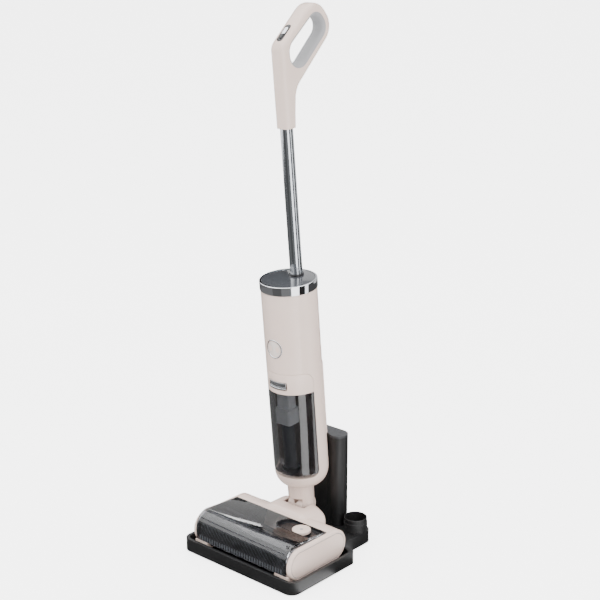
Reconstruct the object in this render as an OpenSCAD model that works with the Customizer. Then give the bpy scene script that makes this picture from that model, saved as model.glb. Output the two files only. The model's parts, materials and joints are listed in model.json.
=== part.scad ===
// Wet and dry floor scrubber standing in its dock.
// Millimetres. +Z is up, the front of the floor head faces -Y, the floor is Z = 0, and X = 0 is the plane
// of symmetry. The upright leans forward over the head, so everything above the recline pivot is drawn
// along its own straight axis and then tilted as one.

/* [Dock] */
// Width of the dock's tray
tray_w = 306; // [290:1:370]
// Front-to-back size of the tray in front of the deck
tray_d = 190; // [185:1:230]
// Height of the tray's rim above the floor
tray_h = 28; // [24:1:32]
// Wall of the tray
tray_wall = 7; // [4:0.5:8]
// Radius of the tray's upright corners
tray_corner = 20; // [8:1:26]
// Width of the deck behind the tray
deck_w = 232; // [210:1:280]
// Front-to-back size of the deck
deck_d = 102; // [98:1:130]
// Height of the post's cap above the floor
post_h = 230; // [190:1:238]
// Radius of each of the post's two lobes
lobe_r = 20; // [16:0.5:22]
// Half the distance between the lobes' centres
lobe_x = 42; // [38:0.5:50]
// Outer radius of the accessory cup
cup_r = 25; // [20:0.5:26]
// Height of the accessory cup's rim above the floor
cup_h = 57; // [45:1:80]
// Height of the rubber feet
foot_h = 1.5; // [1:0.5:3]

/* [Floor head] */
// Width of the head over its end caps
head_w = 266; // [240:1:272]
// Thickness of an end cap
cap_t = 7.7; // [5:0.1:10]
// Radius of the end caps' round ends, which is half their height
cap_r = 33.5; // [31:0.5:35]
// Front-to-back size of an end cap
cap_d = 171; // [165:1:180]
// Height of the roller window's highest edge above the floor
window_z = 88; // [84:1:94]
// Thickness of the roller window
window_t = 2.5; // [2:0.25:3]
// Radius of the roller over its nap
roller_r = 34; // [27:0.5:34.5]
// Radius of the roller's stiff core
core_r = 20; // [16:0.5:23]
// Radius of the pins that the roller turns on
roller_pin_r = 5; // [4:0.25:7]
// Radius of the window's release knob
knob_r = 19; // [14:0.5:20]
// Radius of a rear wheel
wheel_r = 29; // [24:0.5:30]
// Width of a rear wheel
wheel_w = 18; // [12:1:20]

/* [Neck] */
// Height of the recline pivot above the floor
pivot_z = 82; // [80:1:92]
// Distance of the pivot behind the head's rear end
pivot_back = 15.5; // [12:0.5:24]
// Radius of the pivot pin
pivot_r = 5; // [4:0.25:7]
// Outer radius of the neck
neck_r = 27.5; // [25:0.5:30]
// Distance of the body's axis behind the neck's own axis
axis_back = 7; // [4:0.5:8]
// Forward lean of the upright, in degrees
lean = 5.5; // [4:0.5:7]

/* [Body] */
// Radius of the body
body_r = 56; // [50:0.5:56.5]
// Thickness of the body's shells
shell_t = 2.5; // [2:0.25:3.5]
// Distance along the axis from the pivot to the bottom of the bowl
neck_len = 51.5; // [50:0.5:60]
// Height of the bowl under the tank
bowl_h = 31; // [26:1:40]
// Height of the dirty-water tank
tank_h = 188; // [150:1:220]
// Height of the tank's lid
lid_h = 44; // [40:1:56]
// Height of the upper body below its chrome ring
upper_h = 165; // [160:1:200]
// Height of the chrome ring
ring_h = 18.5; // [14:0.5:24]
// Radius of the round display
display_r = 19.5; // [14:0.5:22]

/* [Pole and handle] */
// Radius of the pole
pole_r = 12.5; // [10:0.25:13]
// Distance of the pole's axis behind the body's axis
pole_back = 24.5; // [18:0.5:28]
// Length of pole that shows
pole_len = 294.5; // [240:1:360]
// Width of the handle from side to side
handle_w = 30; // [28:0.5:36]
// Thickness of the grip's lining around the hole
grip_t = 5; // [3:0.5:6]

/* [Clearances] */
// Gap between a shaft and the bore that it turns in
running_gap = 0.05; // [0.02:0.01:0.1]
// Gap between parts that slide or lift apart
part_gap = 0.3; // [0.3:0.05:0.5]
// Gap between the floor head and the tray's front wall
head_gap = 5; // [4:0.5:7]

/* [Hidden] */
$fn = 96;

// Dock, from the front edge to the back edge, centred on Y = 0
dock_front = -(tray_d + deck_d) / 2;
dock_back = -dock_front;
deck_y = dock_front + tray_d;
tray_floor_z = foot_h + 5.5;
basin_back = deck_y + 2;
deck_wall = 3;
base_plate_t = 2;
foot_r = 7;
post_wall = 2.5;
post_cap_t = 5;
contact_r = 2.5;
contact_x = 9;
screw_r = 1.8;
screw_head_r = 3.4;
screw_head_h = 1.6;
base_boss_r = 5;
base_screw_len = 11;

// Floor head
head_front = dock_front + tray_wall + head_gap;
cap_x = head_w / 2;
plate_x = cap_x - cap_t;
plate_t = 4;
inner_x = plate_x - plate_t;
cap_front_y = head_front + 1 + cap_r;
cap_rear_y = head_front + 1 + cap_d - cap_r;
head_rear = cap_rear_y + cap_r;
cap_z = tray_floor_z + 6 + cap_r;
head_top_rear = cap_z + cap_r;
nose_r = 32;
nose_y = head_front + nose_r;
window_bottom = tray_h + 1;
window_rear = cap_rear_y - 16;
chassis_z = tray_floor_z + 6;
chassis_t = 3;
roller_y = head_front + window_t + 1.5 + roller_r;
roller_z = tray_floor_z + 2 + roller_r;
roller_half = inner_x - 6;
chin_from = roller_half - 22;
chin_top = window_bottom - part_gap;
hub_len = 12;
core_wall = 3;
pulley_w = 4;
pulley_x = inner_x - pulley_w - 0.6;
roller_pulley_r = 14;
motor_pulley_r = 7;
belt_t = 1.4;
motor_y = roller_y + roller_r + 40;
motor_z = chassis_z + chassis_t + 24;
motor_r = 17;
motor_room = 5.6;
motor_out = pulley_x - 4;
shaft_r = 2.5;
scraper_y = roller_y + roller_r + 1.5;
// The recess in the window that holds its knob
recess_long = 57;
recess_gap = 2;
recess_depth_z = window_z - 12;
knob_pos = [inner_x - 40, window_rear - 28];
knob_h = 6;
knob_travel = 2;
// Rear wheels
wheel_mid = inner_x - 28;
wheel_y = head_rear - 8;
wheel_z = tray_floor_z + part_gap + wheel_r;
axle_r = 4;
cheek_t = 3;

cover_boss_r = 4;
cover_screw_len = 12;

// Hump that carries the pivot
pivot_y = head_rear + pivot_back;
lug_r = neck_r - 5.5;
lug_half = neck_r - 8;
elbow_half = lug_half - 0.4;
motor_in = elbow_half + motor_room;
duct_r = 9;
elbow_front = cap_rear_y - 30;
hump_top_z = pivot_z + 17;

// Levels along the body's axis, measured from the pivot
bowl_t = neck_len;
tank_t = bowl_t + bowl_h;
lid_t = tank_t + tank_h;
seam_t = lid_t + lid_h;
band_t = seam_t + upper_h;
top_t = band_t + ring_h;
handle_t = top_t + pole_len;
neck_top = bowl_t - 0.6;
neck_plate_t = 5;
spigot_r = 10.5;
spigot_bore = 8;
retainer_r = 14;
retainer_t = 4;
bowl_floor_r = body_r / 2;
tank_back = -7;
bulkhead_t = 2.5;
clean_front = tank_back + bulkhead_t + part_gap;
clean_half = body_r - 10;
shelf_t = tank_t + 77;
bump = 1.5;
tank_wall = 2;
// The float, the inlet tube inside it and the filter above it share the space across the dirty tank
float_slack = 11;
float_wall = 6;
float_r = (body_r + tank_back - float_slack) / 2;
inlet_r = float_r - float_wall;
inlet_v = (tank_back - body_r + 3) / 2;
filter_r = float_r;
filter_v = inlet_v + 1;
filter_h = 8;
float_h = 14;
float_travel = 60;
latch_half = 22;
latch_h = 15;
latch_t = lid_t + 10;
latch_travel = 2;
latch_gap = 1.5;
latch_proud = 1.4;
latch_lip = 4;
latch_back = -body_r + 7;
lid_round = 26;
display_t = seam_t + 52;
motor_body_r = body_r - 18;
fan_r = motor_body_r - 4;
fan_t = seam_t + shell_t + 4;
fan_h = 14;
battery_half = body_r - 22;
board_half = 17;
board_front = body_r - 9.5;
board_thick = 1.6;
ring_proud = 1.5;
plate_r = body_r - 2.5;
plate_deep = 4.5;
pole_socket = 20;
stem_socket = 40;

// Side view of the handle, from the middle of the stem's lower end: along Y, then up
stem_r = pole_r + 1.5;
handle_outline = [
  [-stem_r, 0], [-15, 156.5], [94, 232], [139, 168.5], [21.5, 71.5], [16, 29], [stem_r, 0]
];
handle_rounding = [0, 22, 36, 34, 40, 20, 0];
hole_outline = [[11, 90], [11, 151.5], [87.5, 205], [111, 172]];
hole_rounding = [22, 22, 18, 18];
panel_angle = atan2(handle_outline[2].y - handle_outline[1].y, handle_outline[2].x - handle_outline[1].x);
panel_from = 13;
panel_to = 52;
panel_half = 8;
panel_deep = 2;
power_mid = 37;
power_len = 18;
power_half = 5;
mode_mid = 20;
mode_r = 2.6;
button_travel = 1.5;

// ---- Shared shapes ----

function unit(v) = v / norm(v);

// The arc that rounds corner q of the path p, q, s
function corner(p, q, s, r, n) =
  let (u = unit(p - q), w = unit(s - q), half = acos(u * w) / 2, c = q + unit(u + w) * r / sin(half))
  let (a = q + u * r / tan(half) - c, b = q + w * r / tan(half) - c)
  let (a0 = atan2(a.y, a.x), turn = (atan2(b.y, b.x) - a0 + 540) % 360 - 180)
  r == 0 ? [q] : [for (i = [0:n]) c + r * [cos(a0 + turn * i / n), sin(a0 + turn * i / n)]];

// A closed outline with its corners rounded
function rounded(pts, radii, n = 7) =
  let (k = len(pts))
  [for (i = [0:k - 1]) each corner(pts[(i + k - 1) % k], pts[i], pts[(i + 1) % k], radii[i], n)];

function arc(centre, r, from, to, n) =
  [for (i = [0:n]) centre + r * [cos(from + (to - from) * i / n), sin(from + (to - from) * i / n)]];

module along_x(from, to) {
  translate([from, 0, 0]) rotate([90, 0, 90]) linear_extrude(to - from) children();
}

module rod_x(r, from, to, y, z) {
  translate([from, y, z]) rotate([0, 90, 0]) cylinder(r = r, h = to - from);
}

module block(x, y, z) {
  translate([x[0], y[0], z[0]]) cube([x[1] - x[0], y[1] - y[0], z[1] - z[0]]);
}

module both_sides() {
  children();
  mirror([1, 0, 0]) children();
}

// Places a child that is drawn around the body's axis, with Z = 0 level with the pivot
module on_body() {
  translate([0, pivot_y, pivot_z]) rotate([lean, 0, 0]) translate([0, axis_back, 0]) children();
}

module on_handle() {
  on_body() translate([0, pole_back, handle_t]) children();
}

// The sloping face above the handle's bend: Y runs up the face, Z stands out of it
module on_panel() {
  on_handle() translate([0, handle_outline[1].x, handle_outline[1].y]) rotate([panel_angle, 0, 0]) children();
}

module tube(r_out, r_in, from, to) {
  difference() {
    translate([0, 0, from]) cylinder(r = r_out, h = to - from);
    translate([0, 0, from - 1]) cylinder(r = r_in, h = to - from + 2);
  }
}

module rounded_slab(x, y, r, from, to) {
  translate([0, 0, from]) linear_extrude(to - from) polygon(rounded(
    [[x[0], y[0]], [x[1], y[0]], [x[1], y[1]], [x[0], y[1]]], [r, r, r, r]
  ));
}

// ---- Dock ----

module dock_outline(inset, from, to) {
  half = tray_w / 2 - inset;
  deck = deck_w / 2 - inset;
  r = tray_corner - inset;
  translate([0, 0, from]) linear_extrude(to - from) polygon(rounded(
    [
      [-half, dock_front + inset], [half, dock_front + inset], [half, deck_y - inset], [deck, deck_y - inset],
      [deck, dock_back - inset], [-deck, dock_back - inset], [-deck, deck_y - inset], [-half, deck_y - inset]
    ],
    [r, r, r / 2, 6, r, r, 6, r / 2]
  ));
}

module wheel_space(gap, from_z) {
  both_sides() block(
    [wheel_mid - wheel_w / 2 - cheek_t - gap, wheel_mid + wheel_w / 2 + cheek_t + gap],
    [wheel_y, wheel_y + wheel_r + gap], [from_z, tray_h + 1]
  );
}

module dock_tray() {
  color("#17181a") difference() {
    union() {
      tray_body();
      for (p = base_screw_spots()) translate([p.x, p.y, foot_h + base_plate_t])
        cylinder(r = base_boss_r, h = tray_h - foot_h - base_plate_t - 1);
    }
    for (p = base_screw_spots()) translate([p.x, p.y, 0]) cylinder(r = screw_r, h = foot_h + base_screw_len);
  }
}

module tray_body() {
  difference() {
    union() {
      dock_outline(0, foot_h, tray_h - 2);
      dock_outline(1.2, foot_h, tray_h);
    }
    // basin for the head
    rounded_slab(
      [-tray_w / 2 + tray_wall, tray_w / 2 - tray_wall], [dock_front + tray_wall, deck_y - tray_wall],
      tray_corner - tray_wall, tray_floor_z, tray_h + 1
    );
    rounded_slab(
      [-deck_w / 2 + tray_wall, deck_w / 2 - tray_wall], [deck_y - 30, basin_back],
      5, tray_floor_z, tray_h + 1
    );
    wheel_space(2, tray_floor_z);
    // hollow under the deck
    rounded_slab(
      [-deck_w / 2 + deck_wall, deck_w / 2 - deck_wall], [basin_back + wheel_r, dock_back - deck_wall], 8,
      foot_h - 1, tray_h - deck_wall
    );
    power_inlet_space();
    for (p = foot_spots()) translate([p.x, p.y, 0]) cylinder(r = foot_r, h = foot_h + 0.6);
  }
}

function foot_spots() = [
  for (x = [-1, 1], p = [[tray_w / 2 - 22, dock_front + 22], [tray_w / 2 - 22, deck_y - 20]]) [x * p.x, p.y]
];

function base_screw_spots() = [
  for (x = [-1, 1], y = [basin_back + wheel_r + 14, dock_back - 14]) [x * (deck_w / 2 - 14), y]
];

module base_plate_outline(gap) {
  rounded_slab(
    [-deck_w / 2 + deck_wall + gap, deck_w / 2 - deck_wall - gap],
    [basin_back + wheel_r + gap, dock_back - deck_wall - gap], 8 - gap, foot_h, foot_h + base_plate_t
  );
}

module dock_base_plate() {
  color("#1d1e20") difference() {
    base_plate_outline(0.2);
    for (p = base_screw_spots()) translate([p.x, p.y, 0]) cylinder(r = screw_r + 0.2, h = base_screw_len);
  }
}

module dock_screws() {
  color("#8b8f94") for (p = base_screw_spots()) translate([p.x, p.y, foot_h - 0.4]) {
    cylinder(r = screw_head_r, h = 0.4);
    cylinder(r = screw_r, h = base_screw_len);
  }
}

module dock_feet() {
  color("#0f0f10") {
    for (p = foot_spots()) translate([p.x, p.y, 0]) cylinder(r = foot_r, h = foot_h + 0.6);
    for (x = [-1, 1]) translate([x * (deck_w / 2 - 34), dock_back - 22, 0]) cylinder(r = foot_r, h = foot_h);
  }
}

// Section of the post: two lobes and a web that is hollowed to cradle the body
module post_section(inset) {
  difference() {
    union() {
      for (x = [-1, 1]) translate([x * lobe_x, post_y]) circle(r = lobe_r - inset);
      translate([-lobe_x, post_y - lobe_r * 0.9 + inset]) square([lobe_x * 2, lobe_r * 1.9 - inset * 2]);
    }
    translate([0, cradle_y]) circle(r = cradle_r + inset);
  }
}

// The cradle is centred on the body's axis at the level of the tank's bottom
cradle_y = pivot_y + axis_back * cos(lean) - tank_t * sin(lean);
cradle_r = body_r + bump + 1.8;
post_y = cradle_y + sqrt(pow(cradle_r + lobe_r, 2) - lobe_x * lobe_x);

module dock_post() {
  color("#1b1c1e") difference() {
    union() {
      translate([0, 0, tray_h]) linear_extrude(post_h - post_cap_t - tray_h) post_section(0);
      // foot flange
      translate([0, 0, tray_h]) linear_extrude(3) offset(delta = 2) post_section(0);
    }
    translate([0, 0, tray_h + 3]) linear_extrude(post_h) post_section(post_wall);
    for (x = [-1, 1]) translate([x * contact_x, cradle_y, contact_z]) rotate([-90, 0, 0])
      cylinder(r = contact_r, h = cradle_r + 10);
  }
}

module dock_post_cap() {
  color("#3a3c3f") union() {
    translate([0, 0, post_h - post_cap_t]) linear_extrude(post_cap_t - 1) post_section(0);
    translate([0, 0, post_h - 1]) linear_extrude(1) post_section(0.8);
    translate([0, 0, post_h - post_cap_t - 5]) linear_extrude(5) post_section(post_wall + 0.2);
  }
}

contact_z = pivot_z + (shelf_t - 26) * cos(lean);

module dock_contacts() {
  color("#c9a24b") for (x = [-1, 1]) translate([x * contact_x, cradle_y + cradle_r, contact_z])
    rotate([-90, 0, 0]) translate([0, 0, -1.8]) cylinder(r = contact_r, h = 10);
}

cup_x = deck_w / 2 - cup_r;
cup_y = dock_back - cup_r - 2;
cup_wall = 2.5;
power_inlet_z = foot_h + 12;
inlet_half = 7;
inlet_deep = 9;
jack_r = 3.2;

module accessory_cup() {
  color("#18191b") translate([cup_x, cup_y, 0]) difference() {
    translate([0, 0, tray_h]) cylinder(r = cup_r, h = cup_h - tray_h);
    translate([0, 0, tray_h + 3]) cylinder(r = cup_r - cup_wall, h = cup_h);
  }
}

module power_inlet_space() {
  block(
    [-inlet_half, inlet_half], [dock_back - inlet_deep, dock_back + 1],
    [power_inlet_z - inlet_half + 2, power_inlet_z + inlet_half - 2]
  );
}

module power_inlet() {
  color("#0d0d0e") difference() {
    intersection() {
      power_inlet_space();
      block([-inlet_half, inlet_half], [0, dock_back], [0, tray_h]);
    }
    translate([0, dock_back + 1, power_inlet_z]) rotate([90, 0, 0]) cylinder(r = jack_r, h = inlet_deep);
  }
  // pin in the middle of the jack
  color("#c9ccd0") translate([0, dock_back - 1, power_inlet_z]) rotate([90, 0, 0])
    cylinder(r = 0.8, h = inlet_deep - 1);
}

// ---- Floor head ----

// Side view of the head: Y, then Z
function head_profile(inset) = concat(
  [[head_front + inset, window_bottom]],
  arc([nose_y, window_z - nose_r], nose_r - inset, 180, 93, 10),
  arc([cap_rear_y, cap_z], cap_r - inset, 88, -90, 16),
  [[scraper_y + 6, chassis_z + inset]]
);

// The side plate's outline reaches down in front of the roller's pins
module side_outline() {
  polygon(concat(
    [[head_front + 6, cap_z]],
    arc([nose_y, window_z - nose_r], nose_r, 180, 93, 10),
    arc([cap_rear_y, cap_z], cap_r, 88, -90, 16),
    [[cap_front_y, chassis_z]]
  ));
}

module cap_outline(inset) {
  polygon(concat(
    arc([cap_rear_y, cap_z], cap_r - inset, 90, -90, 16),
    arc([cap_front_y, cap_z], cap_r - inset, -90, -270, 16)
  ));
}

module wheel_wells(gap) {
  both_sides() rod_x(
    wheel_r + 1.5, wheel_mid - wheel_w / 2 - gap, wheel_mid + wheel_w / 2 + gap, wheel_y, wheel_z
  );
}

module head_chassis() {
  color("#26272a") {
    difference() {
      union() {
        both_sides() difference() {
          along_x(inner_x, plate_x) side_outline();
          rod_x(roller_pin_r - 2, inner_x - 1, plate_x + 1, roller_y, roller_z);
        }
        block([-inner_x, inner_x], [scraper_y + 6, cap_rear_y], [chassis_z, chassis_z + chassis_t]);
        // webs that join the axles' cheeks
        both_sides() block(
          [wheel_mid - wheel_w / 2 - cheek_t, wheel_mid + wheel_w / 2 + cheek_t],
          [wheel_y - wheel_r - 6, wheel_y - wheel_r + 1], [chassis_z, wheel_z + 4]
        );
        for (s = [-1, 1]) both_sides() translate([wheel_mid + s * (wheel_w / 2 + cheek_t / 2), 0, 0]) block(
          [-cheek_t / 2, cheek_t / 2], [wheel_y - wheel_r - 6, wheel_y + axle_r + 3], [chassis_z, wheel_z + 7]
        );
      }
      wheel_wells(part_gap);
      // suction mouth behind the roller
      block([-70, 70], [scraper_y + 10, scraper_y + 26], [chassis_z - 1, chassis_z + chassis_t + 1]);
      cover_screw_holes(chassis_z + chassis_t + 1);
    }
    both_sides() rod_x(roller_pin_r, inner_x - hub_len - 7, plate_x, roller_y, roller_z);
    both_sides() rod_x(
      axle_r, wheel_mid - wheel_w / 2 - cheek_t, wheel_mid + wheel_w / 2 + cheek_t, wheel_y, wheel_z
    );
  }
}

function cover_screw_spots() =
  [for (s = [-1, 1], x = [52, inner_x - 9.3]) [s * x, cap_rear_y - cover_boss_r]];

module head_screws() {
  color("#8b8f94") for (p = cover_screw_spots()) translate([p.x, p.y, chassis_z - screw_head_h]) {
    cylinder(r = screw_head_r, h = screw_head_h);
    cylinder(r = screw_r, h = screw_head_h + cover_screw_len - 1);
  }
}

// The hump tapers up from the rear cover to the pivot
module hump(inset) {
  hull() {
    rounded_slab([-78 + inset, 78 - inset], [cap_rear_y - 14 + inset, head_rear + 4 - inset], 8,
      head_top_rear - 26, head_top_rear - 24);
    rounded_slab([-66 + inset, 66 - inset], [cap_rear_y - 13 + inset, pivot_y + 5 - inset], 8,
      head_top_rear - 4, head_top_rear - 3 - inset);
    rounded_slab([-39 + inset, 39 - inset], [cap_rear_y - 4 + inset, pivot_y + 2 - inset], 8,
      hump_top_z - 2 - inset, hump_top_z - 1 - inset);
    rounded_slab([-36 + inset, 36 - inset], [cap_rear_y - 1 + inset, pivot_y - inset], 8,
      hump_top_z - 1 - inset, hump_top_z - inset);
  }
}

module cover_screw_holes(reach) {
  for (p = cover_screw_spots()) translate([p.x, p.y, 0]) cylinder(r = screw_r, h = reach);
}

module head_rear_cover() {
  floor_z = chassis_z + chassis_t;
  color("#d9cfc9") difference() {
    union() {
      difference() {
        union() {
          intersection() {
            along_x(-inner_x, inner_x) polygon(head_profile(0));
            block([-inner_x, inner_x], [window_rear + part_gap, head_rear + 1], [floor_z, pivot_z * 2]);
          }
          hump(0);
        }
        intersection() {
          along_x(-inner_x + shell_t, inner_x - shell_t) polygon(head_profile(shell_t));
          block([-inner_x, inner_x], [window_rear, head_rear + 1], [0, pivot_z * 2]);
        }
        hump(shell_t);
      }
      // bosses that stand on the chassis
      for (p = cover_screw_spots()) translate([p.x, p.y, floor_z])
        cylinder(r = cover_boss_r, h = head_top_rear - floor_z - shell_t / 2);
    }
    cover_screw_holes(chassis_z + cover_screw_len);
    // well for the neck, open to the rear
    rod_x(neck_r + 1.2, -neck_r - 1, neck_r + 1, pivot_y, pivot_z);
    block([-neck_r - 1, neck_r + 1], [pivot_y, pivot_y + 60], [head_top_rear - 40, pivot_z * 2]);
    along_x(-lug_half - part_gap, lug_half + part_gap) offset(delta = part_gap) elbow_side();
    wheel_wells(cheek_t + part_gap);
    both_sides() block(
      [wheel_mid - wheel_w / 2 - cheek_t - part_gap, wheel_mid + wheel_w / 2 + cheek_t + part_gap],
      [wheel_y - wheel_r - 7, head_rear + 2], [0, wheel_z + 8]
    );
  }
}

// Low corner of the cap that reaches round in front of the roller's end
module chin() {
  difference() {
    along_x(chin_from, plate_x + 1) polygon([
      [head_front + 0.5, chin_top], [head_front + 1, chassis_z + 9], [head_front + 4, chassis_z + 3],
      [head_front + 9, chassis_z], [cap_front_y - 14, chassis_z], [cap_front_y - 14, chin_top]
    ]);
    rod_x(roller_r + 0.8, chin_from - 1, roller_half + 0.8, roller_y, roller_z);
    along_x(inner_x - 0.2, plate_x) offset(delta = 0.2) side_outline();
  }
}

module end_cap() {
  difference() {
    union() {
      along_x(plate_x, cap_x - 1.6) cap_outline(0);
      along_x(plate_x, cap_x - 0.6) cap_outline(0.7);
      along_x(plate_x, cap_x) cap_outline(2);
      chin();
    }
    // groove round the panel
    difference() {
      along_x(cap_x - 0.8, cap_x + 1) cap_outline(6);
      along_x(cap_x - 1, cap_x + 2) cap_outline(7.2);
    }
  }
}

module end_cap_right() {
  color("#d9cfc9") end_cap();
}

module end_cap_left() {
  color("#d9cfc9") mirror([1, 0, 0]) end_cap();
}

module recess_outline(grow) {
  inner = knob_pos.x - recess_long - grow;
  outer = inner_x - 3 + grow;
  front = knob_pos.y - knob_r - recess_gap - grow;
  rear = window_rear - 4 + grow;
  polygon(rounded([[inner, front], [outer, front], [outer, rear], [inner, rear]], [knob_r, 4, 4, knob_r]));
}

module roller_window() {
  color("#4b4c50", 0.6) difference() {
    union() {
      intersection() {
        along_x(-inner_x + part_gap, inner_x - part_gap) difference() {
          polygon(head_profile(0));
          polygon(head_profile(window_t));
        }
        block([-inner_x, inner_x], [head_front - 1, window_rear], [window_bottom, 200]);
      }
      // recess for the knob
      intersection() {
        translate([0, 0, recess_depth_z - 2]) linear_extrude(60) recess_outline(2);
        along_x(-inner_x + part_gap, inner_x - part_gap) polygon(head_profile(0));
        block([-inner_x, inner_x], [head_front - 1, window_rear], [0, 200]);
      }
    }
    translate([0, 0, recess_depth_z]) linear_extrude(60) recess_outline(0);
  }
}

module window_knob() {
  color("#ddd3cc") translate([knob_pos.x, knob_pos.y, recess_depth_z + knob_travel + 0.3]) union() {
    cylinder(r = knob_r, h = knob_h - 1);
    cylinder(r = knob_r - 1, h = knob_h);
  }
}

module roller_core() {
  color("#3c3e42") difference() {
    rod_x(core_r, -roller_half, roller_half, roller_y, roller_z);
    rod_x(core_r - core_wall, -roller_half + hub_len, roller_half - hub_len, roller_y, roller_z);
    rod_x(roller_pin_r + running_gap, -roller_half - 1, roller_half + 1, roller_y, roller_z);
  }
}

module roller_sleeve() {
  color("#8f9296") difference() {
    rod_x(roller_r, -roller_half, roller_half, roller_y, roller_z);
    rod_x(core_r, -roller_half - 1, roller_half + 1, roller_y, roller_z);
  }
}

module roller_pulley() {
  color("#1f2022") difference() {
    union() {
      rod_x(roller_pulley_r, pulley_x, pulley_x + pulley_w, roller_y, roller_z);
      rod_x(core_r - 8, roller_half, pulley_x + 0.5, roller_y, roller_z);
    }
    rod_x(roller_pin_r + running_gap, roller_half - 1, pulley_x + pulley_w + 1, roller_y, roller_z);
  }
}

module motor_pulley() {
  color("#b9bcc0") rod_x(motor_pulley_r, pulley_x, pulley_x + pulley_w, motor_y, motor_z);
  color("#b9bcc0") rod_x(shaft_r, pulley_x - 25, pulley_x, motor_y, motor_z);
}

module belt_loop(extra) {
  hull() {
    translate([roller_y, roller_z]) circle(r = roller_pulley_r + part_gap + extra, $fn = 48);
    translate([motor_y, motor_z]) circle(r = motor_pulley_r + part_gap + extra, $fn = 32);
  }
}

module drive_belt() {
  color("#141415") along_x(pulley_x + 0.3, pulley_x + pulley_w - 0.3) difference() {
    belt_loop(belt_t);
    belt_loop(0);
  }
}

module roller_motor() {
  color("#77797d") difference() {
    union() {
      rod_x(motor_r, motor_in, motor_out, motor_y, motor_z);
      // cradle
      block(
        [motor_in + 12, motor_out - 16], [motor_y - 8, motor_y + 8],
        [chassis_z + chassis_t, motor_z - motor_r + 3]
      );
    }
    rod_x(shaft_r + running_gap, pulley_x - 26, pulley_x - 3, motor_y, motor_z);
  }
}

module roller_scraper() {
  color("#2c2d30") union() {
    block([-inner_x, roller_half - 2], [scraper_y + 6, scraper_y + 9], [chassis_z + chassis_t, roller_z + 6]);
    block([-inner_x, roller_half - 2], [scraper_y, scraper_y + 6], [roller_z - 2, roller_z]);
  }
}

module spray_bar() {
  z = roller_z + roller_r - 14;
  color("#d0d2d4") difference() {
    block([-inner_x, roller_half - 20], [scraper_y + 1, scraper_y + 8], [z, z + 6]);
    for (i = [-4:4]) translate([i * 22, scraper_y, z + 3]) rotate([-90, 0, 0]) cylinder(r = 0.9, h = 5);
  }
}

module squeegee() {
  color("#2f3033") block(
    [-roller_half + 4, roller_half - 4], [scraper_y + 3.2, scraper_y + 6], [tray_floor_z + 1, chassis_z + 8]
  );
}

// Side view of the elbow, from the lug down to the chassis
module elbow_side() {
  floor_z = chassis_z + chassis_t;
  polygon([
    [pivot_y - lug_r, pivot_z], [pivot_y + lug_r * 0.5, pivot_z - lug_r * 0.7], [head_rear - 4, cap_z],
    [cap_rear_y, floor_z], [elbow_front, floor_z], [elbow_front, floor_z + duct_r * 2 + 8]
  ]);
}

module suction_elbow() {
  duct_z = chassis_z + chassis_t + duct_r + 4;
  color("#2a2b2e") difference() {
    union() {
      rod_x(lug_r, -elbow_half, elbow_half, pivot_y, pivot_z);
      along_x(-elbow_half, elbow_half) elbow_side();
    }
    rod_x(pivot_r + running_gap, -lug_half, lug_half, pivot_y, pivot_z);
    // duct in front of the pin
    translate([0, pivot_y - pivot_r - duct_r, duct_z]) cylinder(r = duct_r - 2, h = pivot_z);
    translate([0, elbow_front - 1, duct_z]) rotate([-90, 0, 0])
      cylinder(r = duct_r, h = pivot_y - pivot_r - elbow_front + 1);
  }
}

module wheel(x) {
  translate([x, wheel_y, wheel_z]) rotate([0, 90, 0]) difference() {
    union() {
      translate([0, 0, -wheel_w / 2]) cylinder(r = wheel_r - 1, h = wheel_w);
      translate([0, 0, -wheel_w / 2 + 1.5]) cylinder(r = wheel_r, h = wheel_w - 3);
    }
    translate([0, 0, -wheel_w]) cylinder(r = axle_r + running_gap, h = wheel_w * 2);
    for (s = [-1, 1]) translate([0, 0, s * wheel_w / 2 - 2]) difference() {
      cylinder(r = wheel_r - 7, h = 4);
      translate([0, 0, -1]) cylinder(r = axle_r + 4, h = 6);
    }
  }
}

module wheel_left() {
  color("#242528") wheel(-wheel_mid);
}

module wheel_right() {
  color("#242528") wheel(wheel_mid);
}

// ---- Neck ----

module neck_yoke() {
  color("#d9cfc9") translate([0, pivot_y, pivot_z]) rotate([lean, 0, 0]) difference() {
    union() {
      cylinder(r1 = neck_r - 1, r2 = neck_r, h = neck_top);
      intersection() {
        rod_x(neck_r - 1, -neck_r, neck_r, 0, 0);
        translate([0, 0, -neck_r]) cylinder(r = neck_r - 1, h = neck_r + 1);
      }
    }
    // gap between the ears for the head's lug
    block([-lug_half, lug_half], [-neck_r, neck_r], [-neck_r - 1, lug_r + 1.5]);
    translate([0, 0, lug_r + 1]) cylinder(r = neck_r - 5, h = neck_top - neck_plate_t - lug_r - 1);
    translate([0, axis_back, 0]) cylinder(r = spigot_r + running_gap, h = neck_top + 1);
    rod_x(pivot_r, -neck_r - 1, neck_r + 1, 0, 0);
  }
}

module pivot_pin() {
  color("#cfc5be") rod_x(pivot_r, -neck_r + 0.4, neck_r - 0.4, pivot_y, pivot_z);
}

// ---- Body ----

// Outside of the bowl: a quarter of an ellipse from its floor up to the body's full radius
function bowl_profile(inset) = [
  for (a = [-90:6:0])
    [bowl_floor_r + (body_r - bowl_floor_r) * cos(a) - inset * cos(a),
      bowl_t + (bowl_h + 6) * (1 + sin(a)) - inset * sin(a)]
];

module bowl_solid(inset, top) {
  intersection() {
    rotate_extrude() polygon(concat([[0, bowl_t + inset]], bowl_profile(inset), [[0, bowl_t + bowl_h + 6]]));
    translate([0, 0, bowl_t - 1]) cylinder(r = body_r * 2, h = top - bowl_t + 1);
  }
}

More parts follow.
